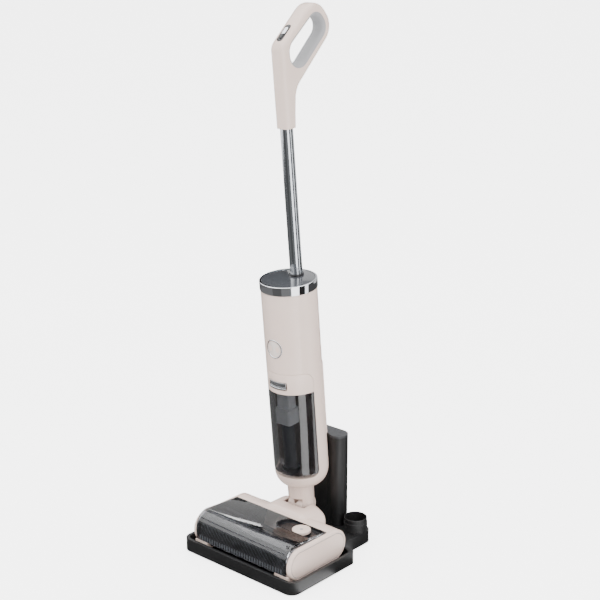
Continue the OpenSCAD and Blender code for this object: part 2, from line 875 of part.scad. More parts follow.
module lower_bowl() {
  color("#d9cfc9") on_body() difference() {
    union() {
      difference() {
        bowl_solid(0, tank_t - part_gap);
        bowl_solid(shell_t, tank_t - shell_t - part_gap);
      }
      translate([0, 0, neck_top - neck_plate_t - retainer_t - 0.4])
        cylinder(r = spigot_r, h = retainer_t + neck_plate_t + 1 + shell_t);
    }
    translate([0, 0, 0]) cylinder(r = spigot_bore, h = bowl_t + shell_t + 1);
    // duct up into the tank
    translate([0, inlet_v, tank_t - 8]) cylinder(r = inlet_r - tank_wall, h = 20);
  }
}

module swivel_retainer() {
  color("#b5b8bc") on_body()
    tube(retainer_r, spigot_r, neck_top - neck_plate_t - retainer_t - 0.4, neck_top - neck_plate_t - 0.4);
}

module rear_space(from, to, reach = 100) {
  block([-clean_half - part_gap, clean_half + part_gap], [clean_front - part_gap, reach], [from, to]);
}

module rear_shell() {
  color("#d9cfc9") on_body() difference() {
    union() {
      difference() {
        translate([0, 0, tank_t - part_gap]) cylinder(r = body_r, h = seam_t - tank_t + part_gap);
        translate([0, 0, tank_t - 1]) cylinder(r = body_r - shell_t, h = seam_t);
      }
      // the raised panel that carries the charging pads
      intersection() {
        tube(body_r + bump, body_r - 1, tank_t, shelf_t);
        block([-body_r, body_r], [body_r * 0.48, body_r + bump], [tank_t, shelf_t]);
      }
      intersection() {
        translate([0, 0, tank_t - part_gap]) cylinder(r = body_r - 1, h = seam_t - tank_t + part_gap);
        union() {
          block([-body_r, body_r], [tank_back, tank_back + bulkhead_t], [tank_t - part_gap, seam_t]);
          block([-body_r, body_r], [tank_back, body_r], [shelf_t - shell_t, shelf_t]);
        }
      }
    }
    block([-body_r - 2, body_r + 2], [-body_r - 2, tank_back], [0, seam_t]);
    rear_space(shelf_t, seam_t + 1);
    for (x = [-1, 1]) translate([x * contact_x, body_r - 8, shelf_t - 26]) rotate([-90, 0, 0])
      cylinder(r = contact_r + 2, h = 20);
  }
}

module charge_pads() {
  color("#c9a24b") on_body() for (x = [-1, 1]) translate([x * contact_x, body_r - 4, shelf_t - 26])
    rotate([-90, 0, 0]) cylinder(r = contact_r + 2, h = 4 + bump - 1.2);
}

module clean_tank() {
  color("#cfc6c0") on_body() difference() {
    intersection() {
      translate([0, 0, shelf_t + part_gap]) cylinder(r = body_r, h = seam_t - shelf_t - part_gap * 2);
      block([-clean_half, clean_half], [clean_front, body_r + 1], [shelf_t, seam_t]);
    }
    intersection() {
      translate([0, 0, shelf_t + part_gap + tank_wall])
        cylinder(r = body_r - tank_wall, h = seam_t - shelf_t - part_gap * 2 - tank_wall * 2);
      block(
        [-clean_half + tank_wall, clean_half - tank_wall], [clean_front + tank_wall, body_r + 1], [0, seam_t]
      );
    }
    // shallow groove across the top
    translate([0, body_r + 10, seam_t - 26]) rotate([0, 90, 0]) cylinder(r = 11.2, h = 40, center = true);
  }
}

module water_pump() {
  color("#5d6065") on_body() translate([0, body_r * 0.45, tank_t + 0.2]) {
    cylinder(r = 14, h = 34);
    translate([0, 0, 34]) cylinder(r = 4, h = 12);
  }
}

module upper_shell() {
  color("#d9cfc9") on_body() difference() {
    translate([0, 0, seam_t]) cylinder(r = body_r, h = upper_h);
    translate([0, 0, seam_t + shell_t]) cylinder(r = body_r - shell_t, h = upper_h);
    translate([0, filter_v, seam_t - 1]) cylinder(r = filter_r - 4, h = shell_t + 2);
    translate([0, -body_r + 10, display_t]) rotate([90, 0, 0]) cylinder(r = display_r, h = 20);
  }
}

// A disc on the body's front that follows its curve
module front_disc(r, r_in, proud, deep) {
  intersection() {
    tube(body_r + proud, body_r - deep, display_t - r - 1, display_t + r + 1);
    translate([0, -body_r + 20, display_t]) rotate([90, 0, 0]) difference() {
      cylinder(r = r, h = 30);
      if (r_in > 0) translate([0, 0, -1]) cylinder(r = r_in, h = 40);
    }
  }
}

module display_ring() {
  color("#b7b4b0") on_body() front_disc(display_r, display_r - 2.2, 0.8, shell_t + 1);
}

module display_lens() {
  color("#d4ccc6") on_body() front_disc(display_r - 2.2, 0, 0.2, shell_t);
}

module chrome_ring() {
  color("#e8e9ea") on_body() difference() {
    union() {
      translate([0, 0, band_t]) cylinder(r = body_r + ring_proud, h = ring_h - 1.5);
      translate([0, 0, band_t]) cylinder(r = body_r + ring_proud - 1, h = ring_h);
    }
    translate([0, 0, band_t - 1]) cylinder(r = plate_r - 2, h = ring_h + 2);
    translate([0, 0, top_t - plate_deep]) cylinder(r = plate_r, h = plate_deep + 1);
  }
}

module top_plate() {
  color("#8d9094") on_body() difference() {
    union() {
      translate([0, 0, top_t - plate_deep]) cylinder(r = plate_r - 0.5, h = plate_deep - 0.6);
      translate([0, pole_back, top_t - plate_deep - pole_socket])
        cylinder(r = pole_r + 3, h = pole_socket + 1);
    }
    translate([0, pole_back, top_t - pole_socket - 2]) cylinder(r = pole_r, h = pole_socket + 10);
  }
}

module pole_collar() {
  color("#2b2c2f") on_body() translate([0, pole_back, 0])
    tube(pole_r + 2.3, pole_r, top_t - 0.6, top_t + 3.4);
}

module pole_tube() {
  color("#d7dadd") on_body() translate([0, pole_back, 0])
    tube(pole_r, pole_r - 1.2, top_t - pole_socket - 2, handle_t + stem_socket);
}

module suction_motor() {
  color("#6a6d72") on_body() difference() {
    union() {
      translate([0, 0, seam_t + shell_t]) cylinder(r = motor_body_r, h = fan_h + 12);
      translate([0, 0, fan_t + fan_h]) cylinder(r = motor_body_r * 0.7, h = 42);
    }
    translate([0, 0, seam_t]) cylinder(r = motor_body_r * 0.6, h = 20);
    translate([0, 0, fan_t - 2]) cylinder(r = fan_r + 2, h = fan_h + 4);
    translate([0, 0, fan_t]) cylinder(r = shaft_r + running_gap, h = fan_h + 30);
  }
}

module impeller() {
  color("#c4c7ca") on_body() union() {
    translate([0, 0, fan_t + fan_h - 2]) cylinder(r = fan_r, h = 2);
    translate([0, 0, fan_t + 1]) cylinder(r = 8, h = fan_h - 2);
    translate([0, 0, fan_t + 2]) cylinder(r = shaft_r, h = fan_h + 24);
    for (i = [0:8]) rotate(i * 40) translate([7, -0.75, fan_t + 1]) cube([fan_r - 8, 1.5, fan_h - 2.5]);
  }
}

module battery_pack() {
  color("#3b4a57") on_body() block(
    [-battery_half, battery_half], [-battery_half + 2, battery_half - 4],
    [fan_t + fan_h + 44, band_t - pole_socket + 12]
  );
}

module control_board() {
  color("#2d5a3c") on_body() block(
    [-board_half, board_half], [-board_front, board_thick - board_front],
    [display_t - 34, display_t + 40]
  );
}

// ---- Dirty-water tank ----

module tank_section(r, from, to, back) {
  intersection() {
    translate([0, 0, from]) cylinder(r = r, h = to - from);
    block([-body_r, body_r], [-body_r - 1, back], [from, to]);
  }
}

module tank_shell() {
  color("#3a3a3d", 0.6) on_body() difference() {
    union() {
      tank_section(body_r, tank_t + 3, lid_t, tank_back - part_gap);
      tank_section(body_r - 1.2, tank_t, tank_t + 3, tank_back - part_gap);
    }
    tank_section(body_r - tank_wall, tank_t + tank_wall, lid_t + 1, tank_back - part_gap - tank_wall);
    translate([0, inlet_v, tank_t - 1]) cylinder(r = inlet_r, h = 10);
  }
}

// The lid's rear top corners are rounded off in side view
module lid_side(down) {
  front = -body_r - 2;
  back = tank_back - part_gap;
  top = seam_t - part_gap;
  polygon(rounded(
    [[front, lid_t - down], [back, lid_t - down], [back, top], [front, top]],
    [0, 0, lid_round, 0]
  ));
}

// Pocket in the lid that the latch is pressed into, or the lid's wall round it
module latch_space(gap) {
  block(
    [-latch_half - gap, latch_half + gap], [-body_r - 2, latch_back + latch_travel - 1 + gap],
    [latch_t - gap, latch_t + latch_h + gap]
  );
}

module lid_hollow() {
  difference() {
    intersection() {
      translate([0, 0, lid_t - 1])
        cylinder(r = body_r - shell_t, h = lid_h - filter_h - part_gap - shell_t + 1);
      along_x(-body_r, body_r) offset(delta = -shell_t) lid_side(shell_t + 1);
    }
    latch_space(latch_gap + shell_t);
  }
}

module tank_lid() {
  color("#d9cfc9") on_body() difference() {
    intersection() {
      translate([0, 0, lid_t]) cylinder(r = body_r, h = lid_h);
      along_x(-body_r, body_r) lid_side(0);
    }
    lid_hollow();
    latch_space(latch_gap);
    translate([0, filter_v, seam_t - filter_h - part_gap]) cylinder(r = filter_r, h = filter_h + 1);
    translate([0, filter_v, lid_t]) cylinder(r = filter_r - 6, h = lid_h);
  }
}

module tank_latch() {
  color("#c9cbcd") on_body() intersection() {
    union() {
      tube(body_r + latch_proud - 1, body_r / 2, latch_t, latch_t + latch_h);
      tube(body_r + latch_proud, body_r / 2, latch_t, latch_t + latch_lip);
    }
    block([-latch_half, latch_half], [-body_r - 2, latch_back], [latch_t, latch_t + latch_h]);
  }
}

module tank_filter() {
  color("#e6e4de") on_body() translate([0, filter_v, seam_t - filter_h - part_gap])
    cylinder(r = filter_r, h = filter_h - 1);
}

module inlet_tube() {
  color("#55585c") on_body() translate([0, inlet_v, 0])
    tube(inlet_r, inlet_r - tank_wall, tank_t, lid_t - 62);
}

module inlet_deflector() {
  color("#a4a6a8") on_body() translate([0, inlet_v, 0]) difference() {
    union() {
      rounded_slab([-float_r, float_r], [2 - float_r, float_r - 4], 5, lid_t - 72, lid_t - 39);
      rounded_slab([3 - float_r, float_r - 3], [7 - float_r, float_r - 7], 4, lid_t - 39, lid_t - 2);
    }
    translate([0, 0, lid_t - 73]) cylinder(r = inlet_r, h = 11.01);
    translate([0, 0, lid_t - 62]) cylinder(r = inlet_r - tank_wall, h = 18);
    block([7 - float_r, float_r - 7], [0, float_r + 1], [lid_t - 58, lid_t - 46]);
  }
}

module tank_float() {
  color("#e9a23b") on_body() translate([0, inlet_v, 0])
    tube(float_r, inlet_r + 0.4, tank_t + tank_wall + part_gap, tank_t + tank_wall + part_gap + float_h);
}

// ---- Handle ----

module handle_side(inset) {
  offset(delta = -inset) polygon(rounded(handle_outline, handle_rounding));
}

module hole_side(outset) {
  offset(delta = outset) polygon(rounded(hole_outline, hole_rounding));
}

// Half of the handle's thickness in three steps, so its edges are eased
module handle_layers() {
  half = handle_w / 2;
  along_x(0, half - 4) handle_ring(0);
  along_x(0, half - 1.5) handle_ring(1.4);
  along_x(0, half) handle_ring(3.4);
}

module handle_ring(inset) {
  difference() {
    handle_side(inset);
    hole_side(grip_t);
  }
}

module handle_half() {
  difference() {
    handle_layers();
    along_x(-1, handle_w / 2 - 3) difference() {
      handle_side(3.6);
      hole_side(grip_t + 2);
    }
    translate([0, 0, -1]) cylinder(r = pole_r, h = stem_socket + 1);
  }
}

module panel_space(gap) {
  translate([-panel_half - gap, panel_from - gap, -panel_deep])
    cube([(panel_half + gap) * 2, panel_to - panel_from + gap * 2, panel_deep + 10]);
}

module handle_shell_right() {
  color("#d9cfc9") difference() {
    on_handle() handle_half();
    on_panel() panel_space(0.1);
    on_panel() button_wells();
  }
}

module handle_shell_left() {
  color("#d9cfc9") difference() {
    on_handle() mirror([1, 0, 0]) handle_half();
    on_panel() panel_space(0.1);
    on_panel() button_wells();
  }
}

module handle_grip() {
  half = handle_w / 2;
  color("#8f9092") on_handle() {
    along_x(-half + 1.5, half - 1.5) difference() {
      hole_side(grip_t - 0.1);
      hole_side(0);
    }
  }
}

module power_shape(grow, from, to) {
  translate([0, power_mid, from]) linear_extrude(to - from) polygon(rounded(
    [
      [-power_half - grow, -power_len / 2 - grow], [power_half + grow, -power_len / 2 - grow],
      [power_half + grow, power_len / 2 + grow], [-power_half - grow, power_len / 2 + grow]
    ],
    [4, 4, 4, 4]
  ));
}

module button_wells() {
  power_shape(0.3, -panel_deep - 2.5, 5);
  translate([0, mode_mid, -panel_deep - 2.5]) cylinder(r = mode_r + 0.3, h = 8);
}

module control_panel() {
  color("#1c1d1f") on_panel() difference() {
    translate([-panel_half, panel_from, -panel_deep])
      cube([panel_half * 2, panel_to - panel_from, panel_deep + 0.6]);
    button_wells();
  }
}

module power_button() {
  color("#c6c8ca") on_panel() power_shape(0, -panel_deep + 0.2, button_travel + 1);
}

module mode_button() {
  color("#0e0e0f") on_panel() translate([0, mode_mid, -panel_deep + 0.2])
    cylinder(r = mode_r, h = panel_deep + button_travel + 0.6);
}

dock_tray();
dock_base_plate();
dock_post();
dock_post_cap();
accessory_cup();
dock_feet();
dock_contacts();
power_inlet();
dock_screws();
head_chassis();
head_rear_cover();
end_cap_left();
end_cap_right();
roller_scraper();
spray_bar();
squeegee();
suction_elbow();
roller_motor();
drive_belt();
head_screws();
roller_window();
window_knob();
roller_core();
roller_sleeve();
roller_pulley();
motor_pulley();
wheel_left();
wheel_right();
neck_yoke();
pivot_pin();
lower_bowl();
swivel_retainer();
rear_shell();
upper_shell();
chrome_ring();
top_plate();
display_ring();
display_lens();
suction_motor();
impeller();
battery_pack();
control_board();
water_pump();
charge_pads();
pole_collar();
pole_tube();
handle_shell_left();
handle_shell_right();
handle_grip();
control_panel();
power_button();
mode_button();
tank_shell();
tank_lid();
tank_latch();
tank_filter();
inlet_tube();
inlet_deflector();
tank_float();
clean_tank();
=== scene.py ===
"""Wet and dry floor scrubber standing in its dock.

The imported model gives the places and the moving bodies. This script gives the smooth outer meshes and the
materials. Lengths in the shapes below are millimetres, and each frame turns them into the row's metres.
"""

import json
import math

import bmesh
import bpy
from mathutils import Matrix, Vector, noise


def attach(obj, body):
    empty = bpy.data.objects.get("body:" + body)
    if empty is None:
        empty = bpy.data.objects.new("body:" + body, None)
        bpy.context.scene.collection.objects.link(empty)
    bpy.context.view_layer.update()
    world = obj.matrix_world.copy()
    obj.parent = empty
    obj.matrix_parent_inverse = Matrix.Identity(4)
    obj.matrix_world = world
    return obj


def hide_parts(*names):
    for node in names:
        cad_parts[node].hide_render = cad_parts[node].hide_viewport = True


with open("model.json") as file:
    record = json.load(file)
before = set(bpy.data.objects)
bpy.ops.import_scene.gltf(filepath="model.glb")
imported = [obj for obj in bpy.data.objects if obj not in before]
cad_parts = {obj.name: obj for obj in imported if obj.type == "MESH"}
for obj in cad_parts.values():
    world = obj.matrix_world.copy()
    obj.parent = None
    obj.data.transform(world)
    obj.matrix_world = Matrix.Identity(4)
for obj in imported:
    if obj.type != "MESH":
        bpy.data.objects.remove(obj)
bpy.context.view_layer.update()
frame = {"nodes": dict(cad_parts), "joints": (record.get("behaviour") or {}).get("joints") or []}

MM = 0.001
CENTRE = 0.01  # radius in millimetres at which a turned profile meets its axis
NODES = frame["nodes"]
JOINTS = {j["name"]: j for j in frame["joints"]}


# ---- Frames: matrices from millimetres in a local frame to metres in the row frame ----

def frame_at(origin, x, y, z):
    """Local axes x, y and z at an origin in metres, with millimetres as the local unit."""
    axes = Matrix((x, y, z)).transposed().to_4x4()
    return Matrix.Translation(origin) @ axes @ Matrix.Scale(MM, 4)


X_AXIS, Y_AXIS, Z_AXIS = Vector((1, 0, 0)), Vector((0, 1, 0)), Vector((0, 0, 1))
# The body leans in its dock, so its own axes are the swivel's direction and the way back from it
UP = Vector(JOINTS["swivel"]["axis"]).normalized()
BACK = UP.cross(X_AXIS)
ROW = frame_at(Vector(), X_AXIS, Y_AXIS, Z_AXIS)
BODY = frame_at(Vector(JOINTS["swivel"]["pos_m"]), X_AXIS, BACK, UP)
NECK = frame_at(Vector(JOINTS["recline"]["pos_m"]), X_AXIS, BACK, UP)


def standing(x, y):
    """A frame on the row's floor with its third axis up."""
    return frame_at(Vector((x, y, 0)) * MM, X_AXIS, Y_AXIS, Z_AXIS)


def lying(x, y, z):
    """A frame whose third axis runs along the head's width, as its axles do."""
    return frame_at(Vector((x, y, z)) * MM, Y_AXIS, Z_AXIS, X_AXIS)


def reach(node, place=ROW):
    """Lowest and highest corner of a CAD node in a local frame, in millimetres."""
    inverse = place.inverted()
    points = [inverse @ v.co for v in NODES[node].data.vertices]
    return [Vector(pick(p[i] for p in points) for i in range(3)) for pick in (min, max)]


# ---- Mesh building ----

def linked(name, data):
    """A new object in the scene that shows a mesh, a curve or a camera."""
    made = bpy.data.objects.new(name, data)
    bpy.context.scene.collection.objects.link(made)
    return made


def closed_solid(name, mesh, weld):
    """A piece from loose faces: points nearer than weld metres join, and every face turns outwards."""
    work = bmesh.new()
    work.from_mesh(mesh)
    bmesh.ops.remove_doubles(work, verts=work.verts, dist=weld)
    bmesh.ops.recalc_face_normals(work, faces=work.faces)
    work.to_mesh(mesh)
    work.free()
    return linked(name, mesh)


def mesh_piece(name, points, faces, place=ROW):
    """A piece from points in a local frame and the faces between them."""
    mesh = bpy.data.meshes.new(name)
    mesh.from_pydata([place @ Vector(p) for p in points], [], faces)
    return closed_solid(name, mesh, 1e-6)


def loft(name, rows, place=ROW, ring=False):
    """A closed solid through rows of points. The ends are capped, or joined to each other in a ring."""
    n = len(rows[0])
    count = len(rows)
    faces = [
        (i * n + j, i * n + (j + 1) % n, ((i + 1) % count) * n + (j + 1) % n, ((i + 1) % count) * n + j)
        for i in range(count if ring else count - 1)
        for j in range(n)
    ]
    if not ring:
        faces += [tuple(range(n)), tuple((count - 1) * n + j for j in range(n))]
    return mesh_piece(name, [p for row in rows for p in row], faces, place)


def lathe(name, profile, place, segments=128):
    """Revolves a closed profile of (radius, height) about the frame's third axis."""
    angles = [math.tau * i / segments for i in range(segments)]
    rows = [[(r * math.cos(a), r * math.sin(a), h) for r, h in profile] for a in angles]
    return loft(name, rows, place, ring=True)


def drum(name, radius, low, high, place, segments=128):
    """A plain round solid about the frame's third axis."""
    return lathe(name, [(CENTRE, low), (radius, low), (radius, high), (CENTRE, high)], place, segments)


def prism(name, outline, low, high, axis="z", place=ROW):
    """Extrudes an outline along one axis: (x, y) points along z, or (y, z) points along x."""
    rows = [[(h, p, q) if axis == "x" else (p, q, h) for p, q in outline] for h in (low, high)]
    return loft(name, rows, place)


def box(name, x, y, z, place=ROW):
    """A block between two limits along each axis."""
    return prism(name, [(x[0], y[0]), (x[1], y[0]), (x[1], y[1]), (x[0], y[1])], z[0], z[1], "z", place)


def arc(centre, radius, start, end, steps):
    """Points on an arc, with the angles in degrees."""
    angles = [math.radians(start + (end - start) * i / steps) for i in range(steps + 1)]
    return [(centre[0] + radius * math.cos(a), centre[1] + radius * math.sin(a)) for a in angles]


def rounded(points, radii, steps=10):
    """A closed outline with its corners rounded."""
    out = []
    for i, (corner, radius) in enumerate(zip(points, radii)):
        q = Vector(corner)
        if radius == 0:
            out.append(tuple(q))
            continue
        u = (Vector(points[i - 1]) - q).normalized()
        w = (Vector(points[(i + 1) % len(points)]) - q).normalized()
        half = u.angle(w) / 2
        centre = q + (u + w).normalized() * radius / math.sin(half)
        a = q + u * radius / math.tan(half) - centre
        b = q + w * radius / math.tan(half) - centre
        start = math.atan2(a.y, a.x)
        turn = (math.atan2(b.y, b.x) - start + 3 * math.pi) % math.tau - math.pi
        for k in range(steps + 1):
            t = start + turn * k / steps
            out.append((centre.x + radius * math.cos(t), centre.y + radius * math.sin(t)))
    return out


def rectangle(x, y, radius, steps=8):
    """A rectangle between two limits each way, with its four corners rounded."""
    corners = [(x[0], y[0]), (x[1], y[0]), (x[1], y[1]), (x[0], y[1])]
    return rounded(corners, [radius] * 4, steps)


def applied(piece):
    """Turns a piece's modifiers into its mesh."""
    evaluated = piece.evaluated_get(bpy.context.evaluated_depsgraph_get())
    mesh = bpy.data.meshes.new_from_object(evaluated)
    mesh.name = piece.name
    piece.modifiers.clear()
    piece.data = mesh
    return piece


def combine(piece, tools, operation="DIFFERENCE"):
    """Cuts, joins or crosses a piece with closed tools, which are used up."""
    for tool in tools:
        step = piece.modifiers.new("combine", "BOOLEAN")
        step.operation = operation
        step.solver = "EXACT"
        step.object = tool
        bpy.context.view_layer.update()
        applied(piece)
        bpy.data.objects.remove(tool)
    return piece


def eased(piece, width, segments=3, angle=35):
    """Rounds the edges of a piece that turn by more than an angle in degrees, as a mould's edges are."""
    step = piece.modifiers.new("ease", "BEVEL")
    step.width = width * MM
    step.segments = segments
    step.limit_method = "ANGLE"
    step.angle_limit = math.radians(angle)
    step.harden_normals = False
    return applied(piece)


def joined(name, pieces):
    """One piece from several, which are used up."""
    mesh = bpy.data.meshes.new(name)
    work = bmesh.new()
    for part in pieces:
        work.from_mesh(part.data)
        bpy.data.objects.remove(part)
    work.to_mesh(mesh)
    work.free()
    return linked(name, mesh)


def fit(piece, body, slot, material, *nodes, angle=32):
    """Shades a piece, gives it its material, sets it riding, and hides the CAD nodes that it stands for."""
    piece.data.materials.clear()
    piece.data.materials.append(material)
    for face in piece.data.polygons:
        face.use_smooth = True
    piece.data.set_sharp_from_angle(angle=math.radians(angle))
    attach(piece, body)
    if nodes:
        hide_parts(*nodes)
    return piece


# ---- Materials ----

def linear(colour):
    """A #rrggbb colour as linear RGBA."""
    channels = [int(colour[i:i + 2], 16) / 255 for i in (1, 3, 5)]
    return tuple(c / 12.92 if c <= 0.04045 else ((c + 0.055) / 1.055) ** 2.4 for c in channels) + (1.0,)


def add(tree, kind, inputs=None, **settings):
    """Adds a node, sets its properties, and sets or links its inputs."""
    made = tree.nodes.new(kind)
    for name, value in settings.items():
        setattr(made, name, value)
    for name, value in (inputs or {}).items():
        if isinstance(value, bpy.types.NodeSocket):
            tree.links.new(value, made.inputs[name])
        else:
            made.inputs[name].default_value = value
    return made


def surface(name, inputs, build=None):
    """A material whose shader takes fixed inputs, and those that build(tree, millimetres) returns."""
    material = bpy.data.materials.new(name)
    material.use_nodes = True
    tree = material.node_tree
    tree.nodes.clear()
    place = add(tree, "ShaderNodeTexCoord").outputs["Object"]
    millimetres = add(
        tree, "ShaderNodeVectorMath", {0: place, 1: (1000, 1000, 1000)}, operation="MULTIPLY"
    ).outputs[0]
    shader = add(tree, "ShaderNodeBsdfPrincipled", inputs | (build(tree, millimetres) if build else {}))
    add(tree, "ShaderNodeOutputMaterial", {"Surface": shader.outputs[0]})
    return material


def grain(tree, millimetres, size, height, detail=4.0):
    """A fine bump whose grains are size millimetres across and height millimetres deep."""
    noise = add(tree, "ShaderNodeTexNoise", {"Vector": millimetres, "Scale": 1 / size, "Detail": detail})
    relief = {"Height": noise.outputs["Fac"], "Distance": height * MM, "Strength": 1.0}
    return add(tree, "ShaderNodeBump", relief).outputs[0]


def mottled(tree, millimetres, size, dark, light):
    """A colour that drifts between two shades over size millimetres."""
    noise = add(tree, "ShaderNodeTexNoise", {"Vector": millimetres, "Scale": 1 / size, "Detail": 3.0})
    mix = add(
        tree, "ShaderNodeMix", {"Factor": noise.outputs["Fac"], "A": linear(dark), "B": linear(light)},
        data_type="RGBA",
    )
    return mix.outputs["Result"]


def patchy(tree, millimetres, size, low, high):
    """A roughness that wanders between two values, as handling leaves it."""
    noise = add(tree, "ShaderNodeTexNoise", {"Vector": millimetres, "Scale": 1 / size, "Detail": 5.0})
    limits = {"Value": noise.outputs["Fac"], "To Min": low, "To Max": high}
    return add(tree, "ShaderNodeMapRange", limits).outputs[0]


def moulded(name, dark, light, rough, grain_size=0.5, grain_depth=0.012, **inputs):
    """Injection-moulded plastic: its tool was spark-eroded, so light spreads over a very fine even grain.

    The grain is drawn at 0.35 mm or more, because a real one of about 0.1 mm is too fine to show.
    """
    flow, handled = 45, 30

    def build(tree, millimetres):
        return {
            "Base Color": mottled(tree, millimetres, flow, dark, light),
            "Roughness": patchy(tree, millimetres, handled, rough - 0.04, rough + 0.05),
            "Normal": grain(tree, millimetres, grain_size, grain_depth),
        }

    return surface(name, inputs, build)


def polished_metal(name, colour, rough, brushed=0.0):
    """Drawn and polished metal: long fine lines break up its reflections a little.

    The lines are drawn 0.25 mm apart, because real ones are too fine to show, and 50 times as long as wide.
    """
    line, length, wiped = 0.25, 50, 12

    def build(tree, millimetres):
        drawn = {0: millimetres, 1: (1, 1, 1 / length)}
        stretched = add(tree, "ShaderNodeVectorMath", drawn, operation="MULTIPLY").outputs[0]
        lines = add(tree, "ShaderNodeTexNoise", {"Vector": stretched, "Scale": 1 / line, "Detail": 6.0})
        relief = {"Height": lines.outputs["Fac"], "Distance": brushed * MM, "Strength": 1.0}
        return {
            "Roughness": patchy(tree, millimetres, wiped, rough * 0.7, rough * 1.4),
            "Normal": add(tree, "ShaderNodeBump", relief).outputs[0],
        }

    return surface(name, {"Base Color": linear(colour), "Metallic": 1.0}, build)


def smoked_polycarbonate(name, tint, rough):
    """Clear polycarbonate with a smoke dye: sharp reflections outside, and the parts inside seen darkly.

    Moulding leaves a slow ripple in it, under 0.01 mm deep, which bends long reflections.
    """
    ripple, depth, handled = 30, 0.008, 20

    def build(tree, millimetres):
        return {
            "Roughness": patchy(tree, millimetres, handled, rough, rough + 0.03),
            "Normal": grain(tree, millimetres, ripple, depth, detail=1.0),
        }

    inputs = {"Base Color": linear(tint), "Transmission Weight": 1.0, "IOR": 1.58}
    return surface(name, inputs, build)


def microfibre(name, dark, light):
    """Microfibre pile: soft tufts in narrow spiral bands, with a pale sheen where the tips turn away."""
    band, tuft, depth = 10.472, 10 / 9, 0.9
    wave = math.tau / 10  # the length of one wave at scale 1

    def build(tree, millimetres):
        winding = {"Vector": millimetres, "Scale": wave / band, "Distortion": 1.5, "Detail": 2.0}
        bands = add(tree, "ShaderNodeTexWave", winding, bands_direction="DIAGONAL")
        tufts = add(tree, "ShaderNodeTexNoise", {"Vector": millimetres, "Scale": 1 / tuft, "Detail": 6.0})
        shades = {"Factor": bands.outputs["Fac"], "A": linear(dark), "B": linear(light)}
        relief = {"Height": tufts.outputs["Fac"], "Distance": depth * MM, "Strength": 1.0}
        return {
            "Base Color": add(tree, "ShaderNodeMix", shades, data_type="RGBA").outputs["Result"],
            "Normal": add(tree, "ShaderNodeBump", relief).outputs[0],
        }

    return surface(name, {"Roughness": 0.9, "Sheen Weight": 0.6, "Sheen Roughness": 0.4}, build)


# Fine spark grain under a thin gloss: an even warm satin whose highlights fade out softly
BEIGE = moulded(
    "moulded_abs_warm_beige", "#d3bdb1", "#d8c4ba", 0.33, **{"Coat Weight": 0.15, "Coat Roughness": 0.25}
)
# The same beige from a duller tool: wide, weak highlights beside the glossier casing
BEIGE_TANK = moulded("moulded_abs_beige_tank", "#d0bdb3", "#d6c4bb", 0.38)
# A coarse grain in black: it stays dark in full light, with a broad grey bloom on its edges
DOCK_BLACK = moulded("moulded_abs_satin_black", "#0b0b0c", "#101011", 0.46, 0.7, 0.03)
# The dock's grain in charcoal: the post's cap reads a step lighter than the post
DOCK_CAP = moulded("moulded_abs_charcoal", "#26272a", "#2d2e31", 0.42, 0.7, 0.03)
# Glass-filled nylon: dry, uneven grey with almost no highlight
CHASSIS = moulded("moulded_nylon_dark_grey", "#222327", "#2b2c30", 0.5, 1.2, 0.05)
# Smooth dense black: small clear highlights in deep shade
INLET = moulded("moulded_pbt_black", "#0c0c0d", "#121214", 0.4)
# Rubbery skin over the grip: matt grey that pales a little where it turns away
GRIP = moulded(
    "overmoulded_soft_touch_grey", "#8a8a8c", "#949496", 0.62, 0.35, 0.03, **{"Sheen Weight": 0.15}
)
# Waxy pale grey: it stays visible through the smoked tank
DEFLECTOR = moulded("moulded_pp_mid_grey", "#c3c5c8", "#cccfd1", 0.4)
# Uncoloured polypropylene: milky and soft
PALE = moulded("moulded_pp_pale", "#cfd0cc", "#dcdcd8", 0.5)
# Mid grey of hidden works: seen through smoke, it only hints at its shape
PUMP = moulded("moulded_pump_grey", "#43464b", "#4d5056", 0.45)
# Thin film shrunk over round cells: blue, shiny and slightly rippled
BATTERY = moulded("shrink_wrapped_battery", "#2b3b4a", "#34475a", 0.3, 2.5, 0.2)
# Green lacquer screened over copper tracks: glossy, with a faint relief
BOARD = moulded("solder_mask_green", "#0f3d20", "#164a29", 0.25, 1.5, 0.08)
# Skin of blown foam: dark, dull and pitted
FLOAT = moulded("moulded_foam_dark", "#2c2d30", "#36373a", 0.7, 0.8, 0.15)
# Cured in a blasted mould: flat black that hardly shines
RUBBER = moulded("moulded_rubber_black", "#101011", "#181819", 0.68, 0.8, 0.06)
# Drawn through a die: dull grey with faint texture
SQUEEGEE = moulded("extruded_rubber_grey", "#2b2c2f", "#34363a", 0.6, 0.6, 0.04)
# Mirror-polished tool under hard lacquer: dark glass that shows the room
PLATE = moulded(
    "gloss_plate_grey", "#3f4145", "#45474b", 0.09, 8.0, 0.002, **{"Coat Weight": 1.0, "Coat Roughness": 0.03}
)
# Lacquered disc in the casing's colour: one sharp highlight sets it off from the satin round it
DISPLAY = moulded(
    "gloss_display_beige", "#d3c8c1", "#d9cec7", 0.14, 6.0, 0.002,
    **{"Coat Weight": 0.8, "Coat Roughness": 0.04},
)
# Polished black key: a pinpoint highlight
BUTTON_BLACK = moulded("gloss_button_black", "#08080a", "#0e0e10", 0.16)
# Polished black panel: a dark mirror, a little softer than glass
PANEL_BLACK = moulded("gloss_panel_black", "#141416", "#1a1a1d", 0.2)
# Bright plating over smooth plastic: crisp dark and light bands with no lines
CHROME = polished_metal("electroplated_chrome", "#e4e6ea", 0.05, 0.0005)
# Buffed along its length: bright streaks, faintly smeared round the tube
POLE = polished_metal("polished_stainless_tube", "#c6cacf", 0.13, 0.004)
# Satin plating: it glows broadly and mirrors nothing sharply
LATCH = polished_metal("satin_plated_latch", "#d4d5d8", 0.24, 0.002)
# Plain zinc: cool, cloudy grey
STEEL = polished_metal("zinc_plated_steel", "#a8abb0", 0.35, 0.01)
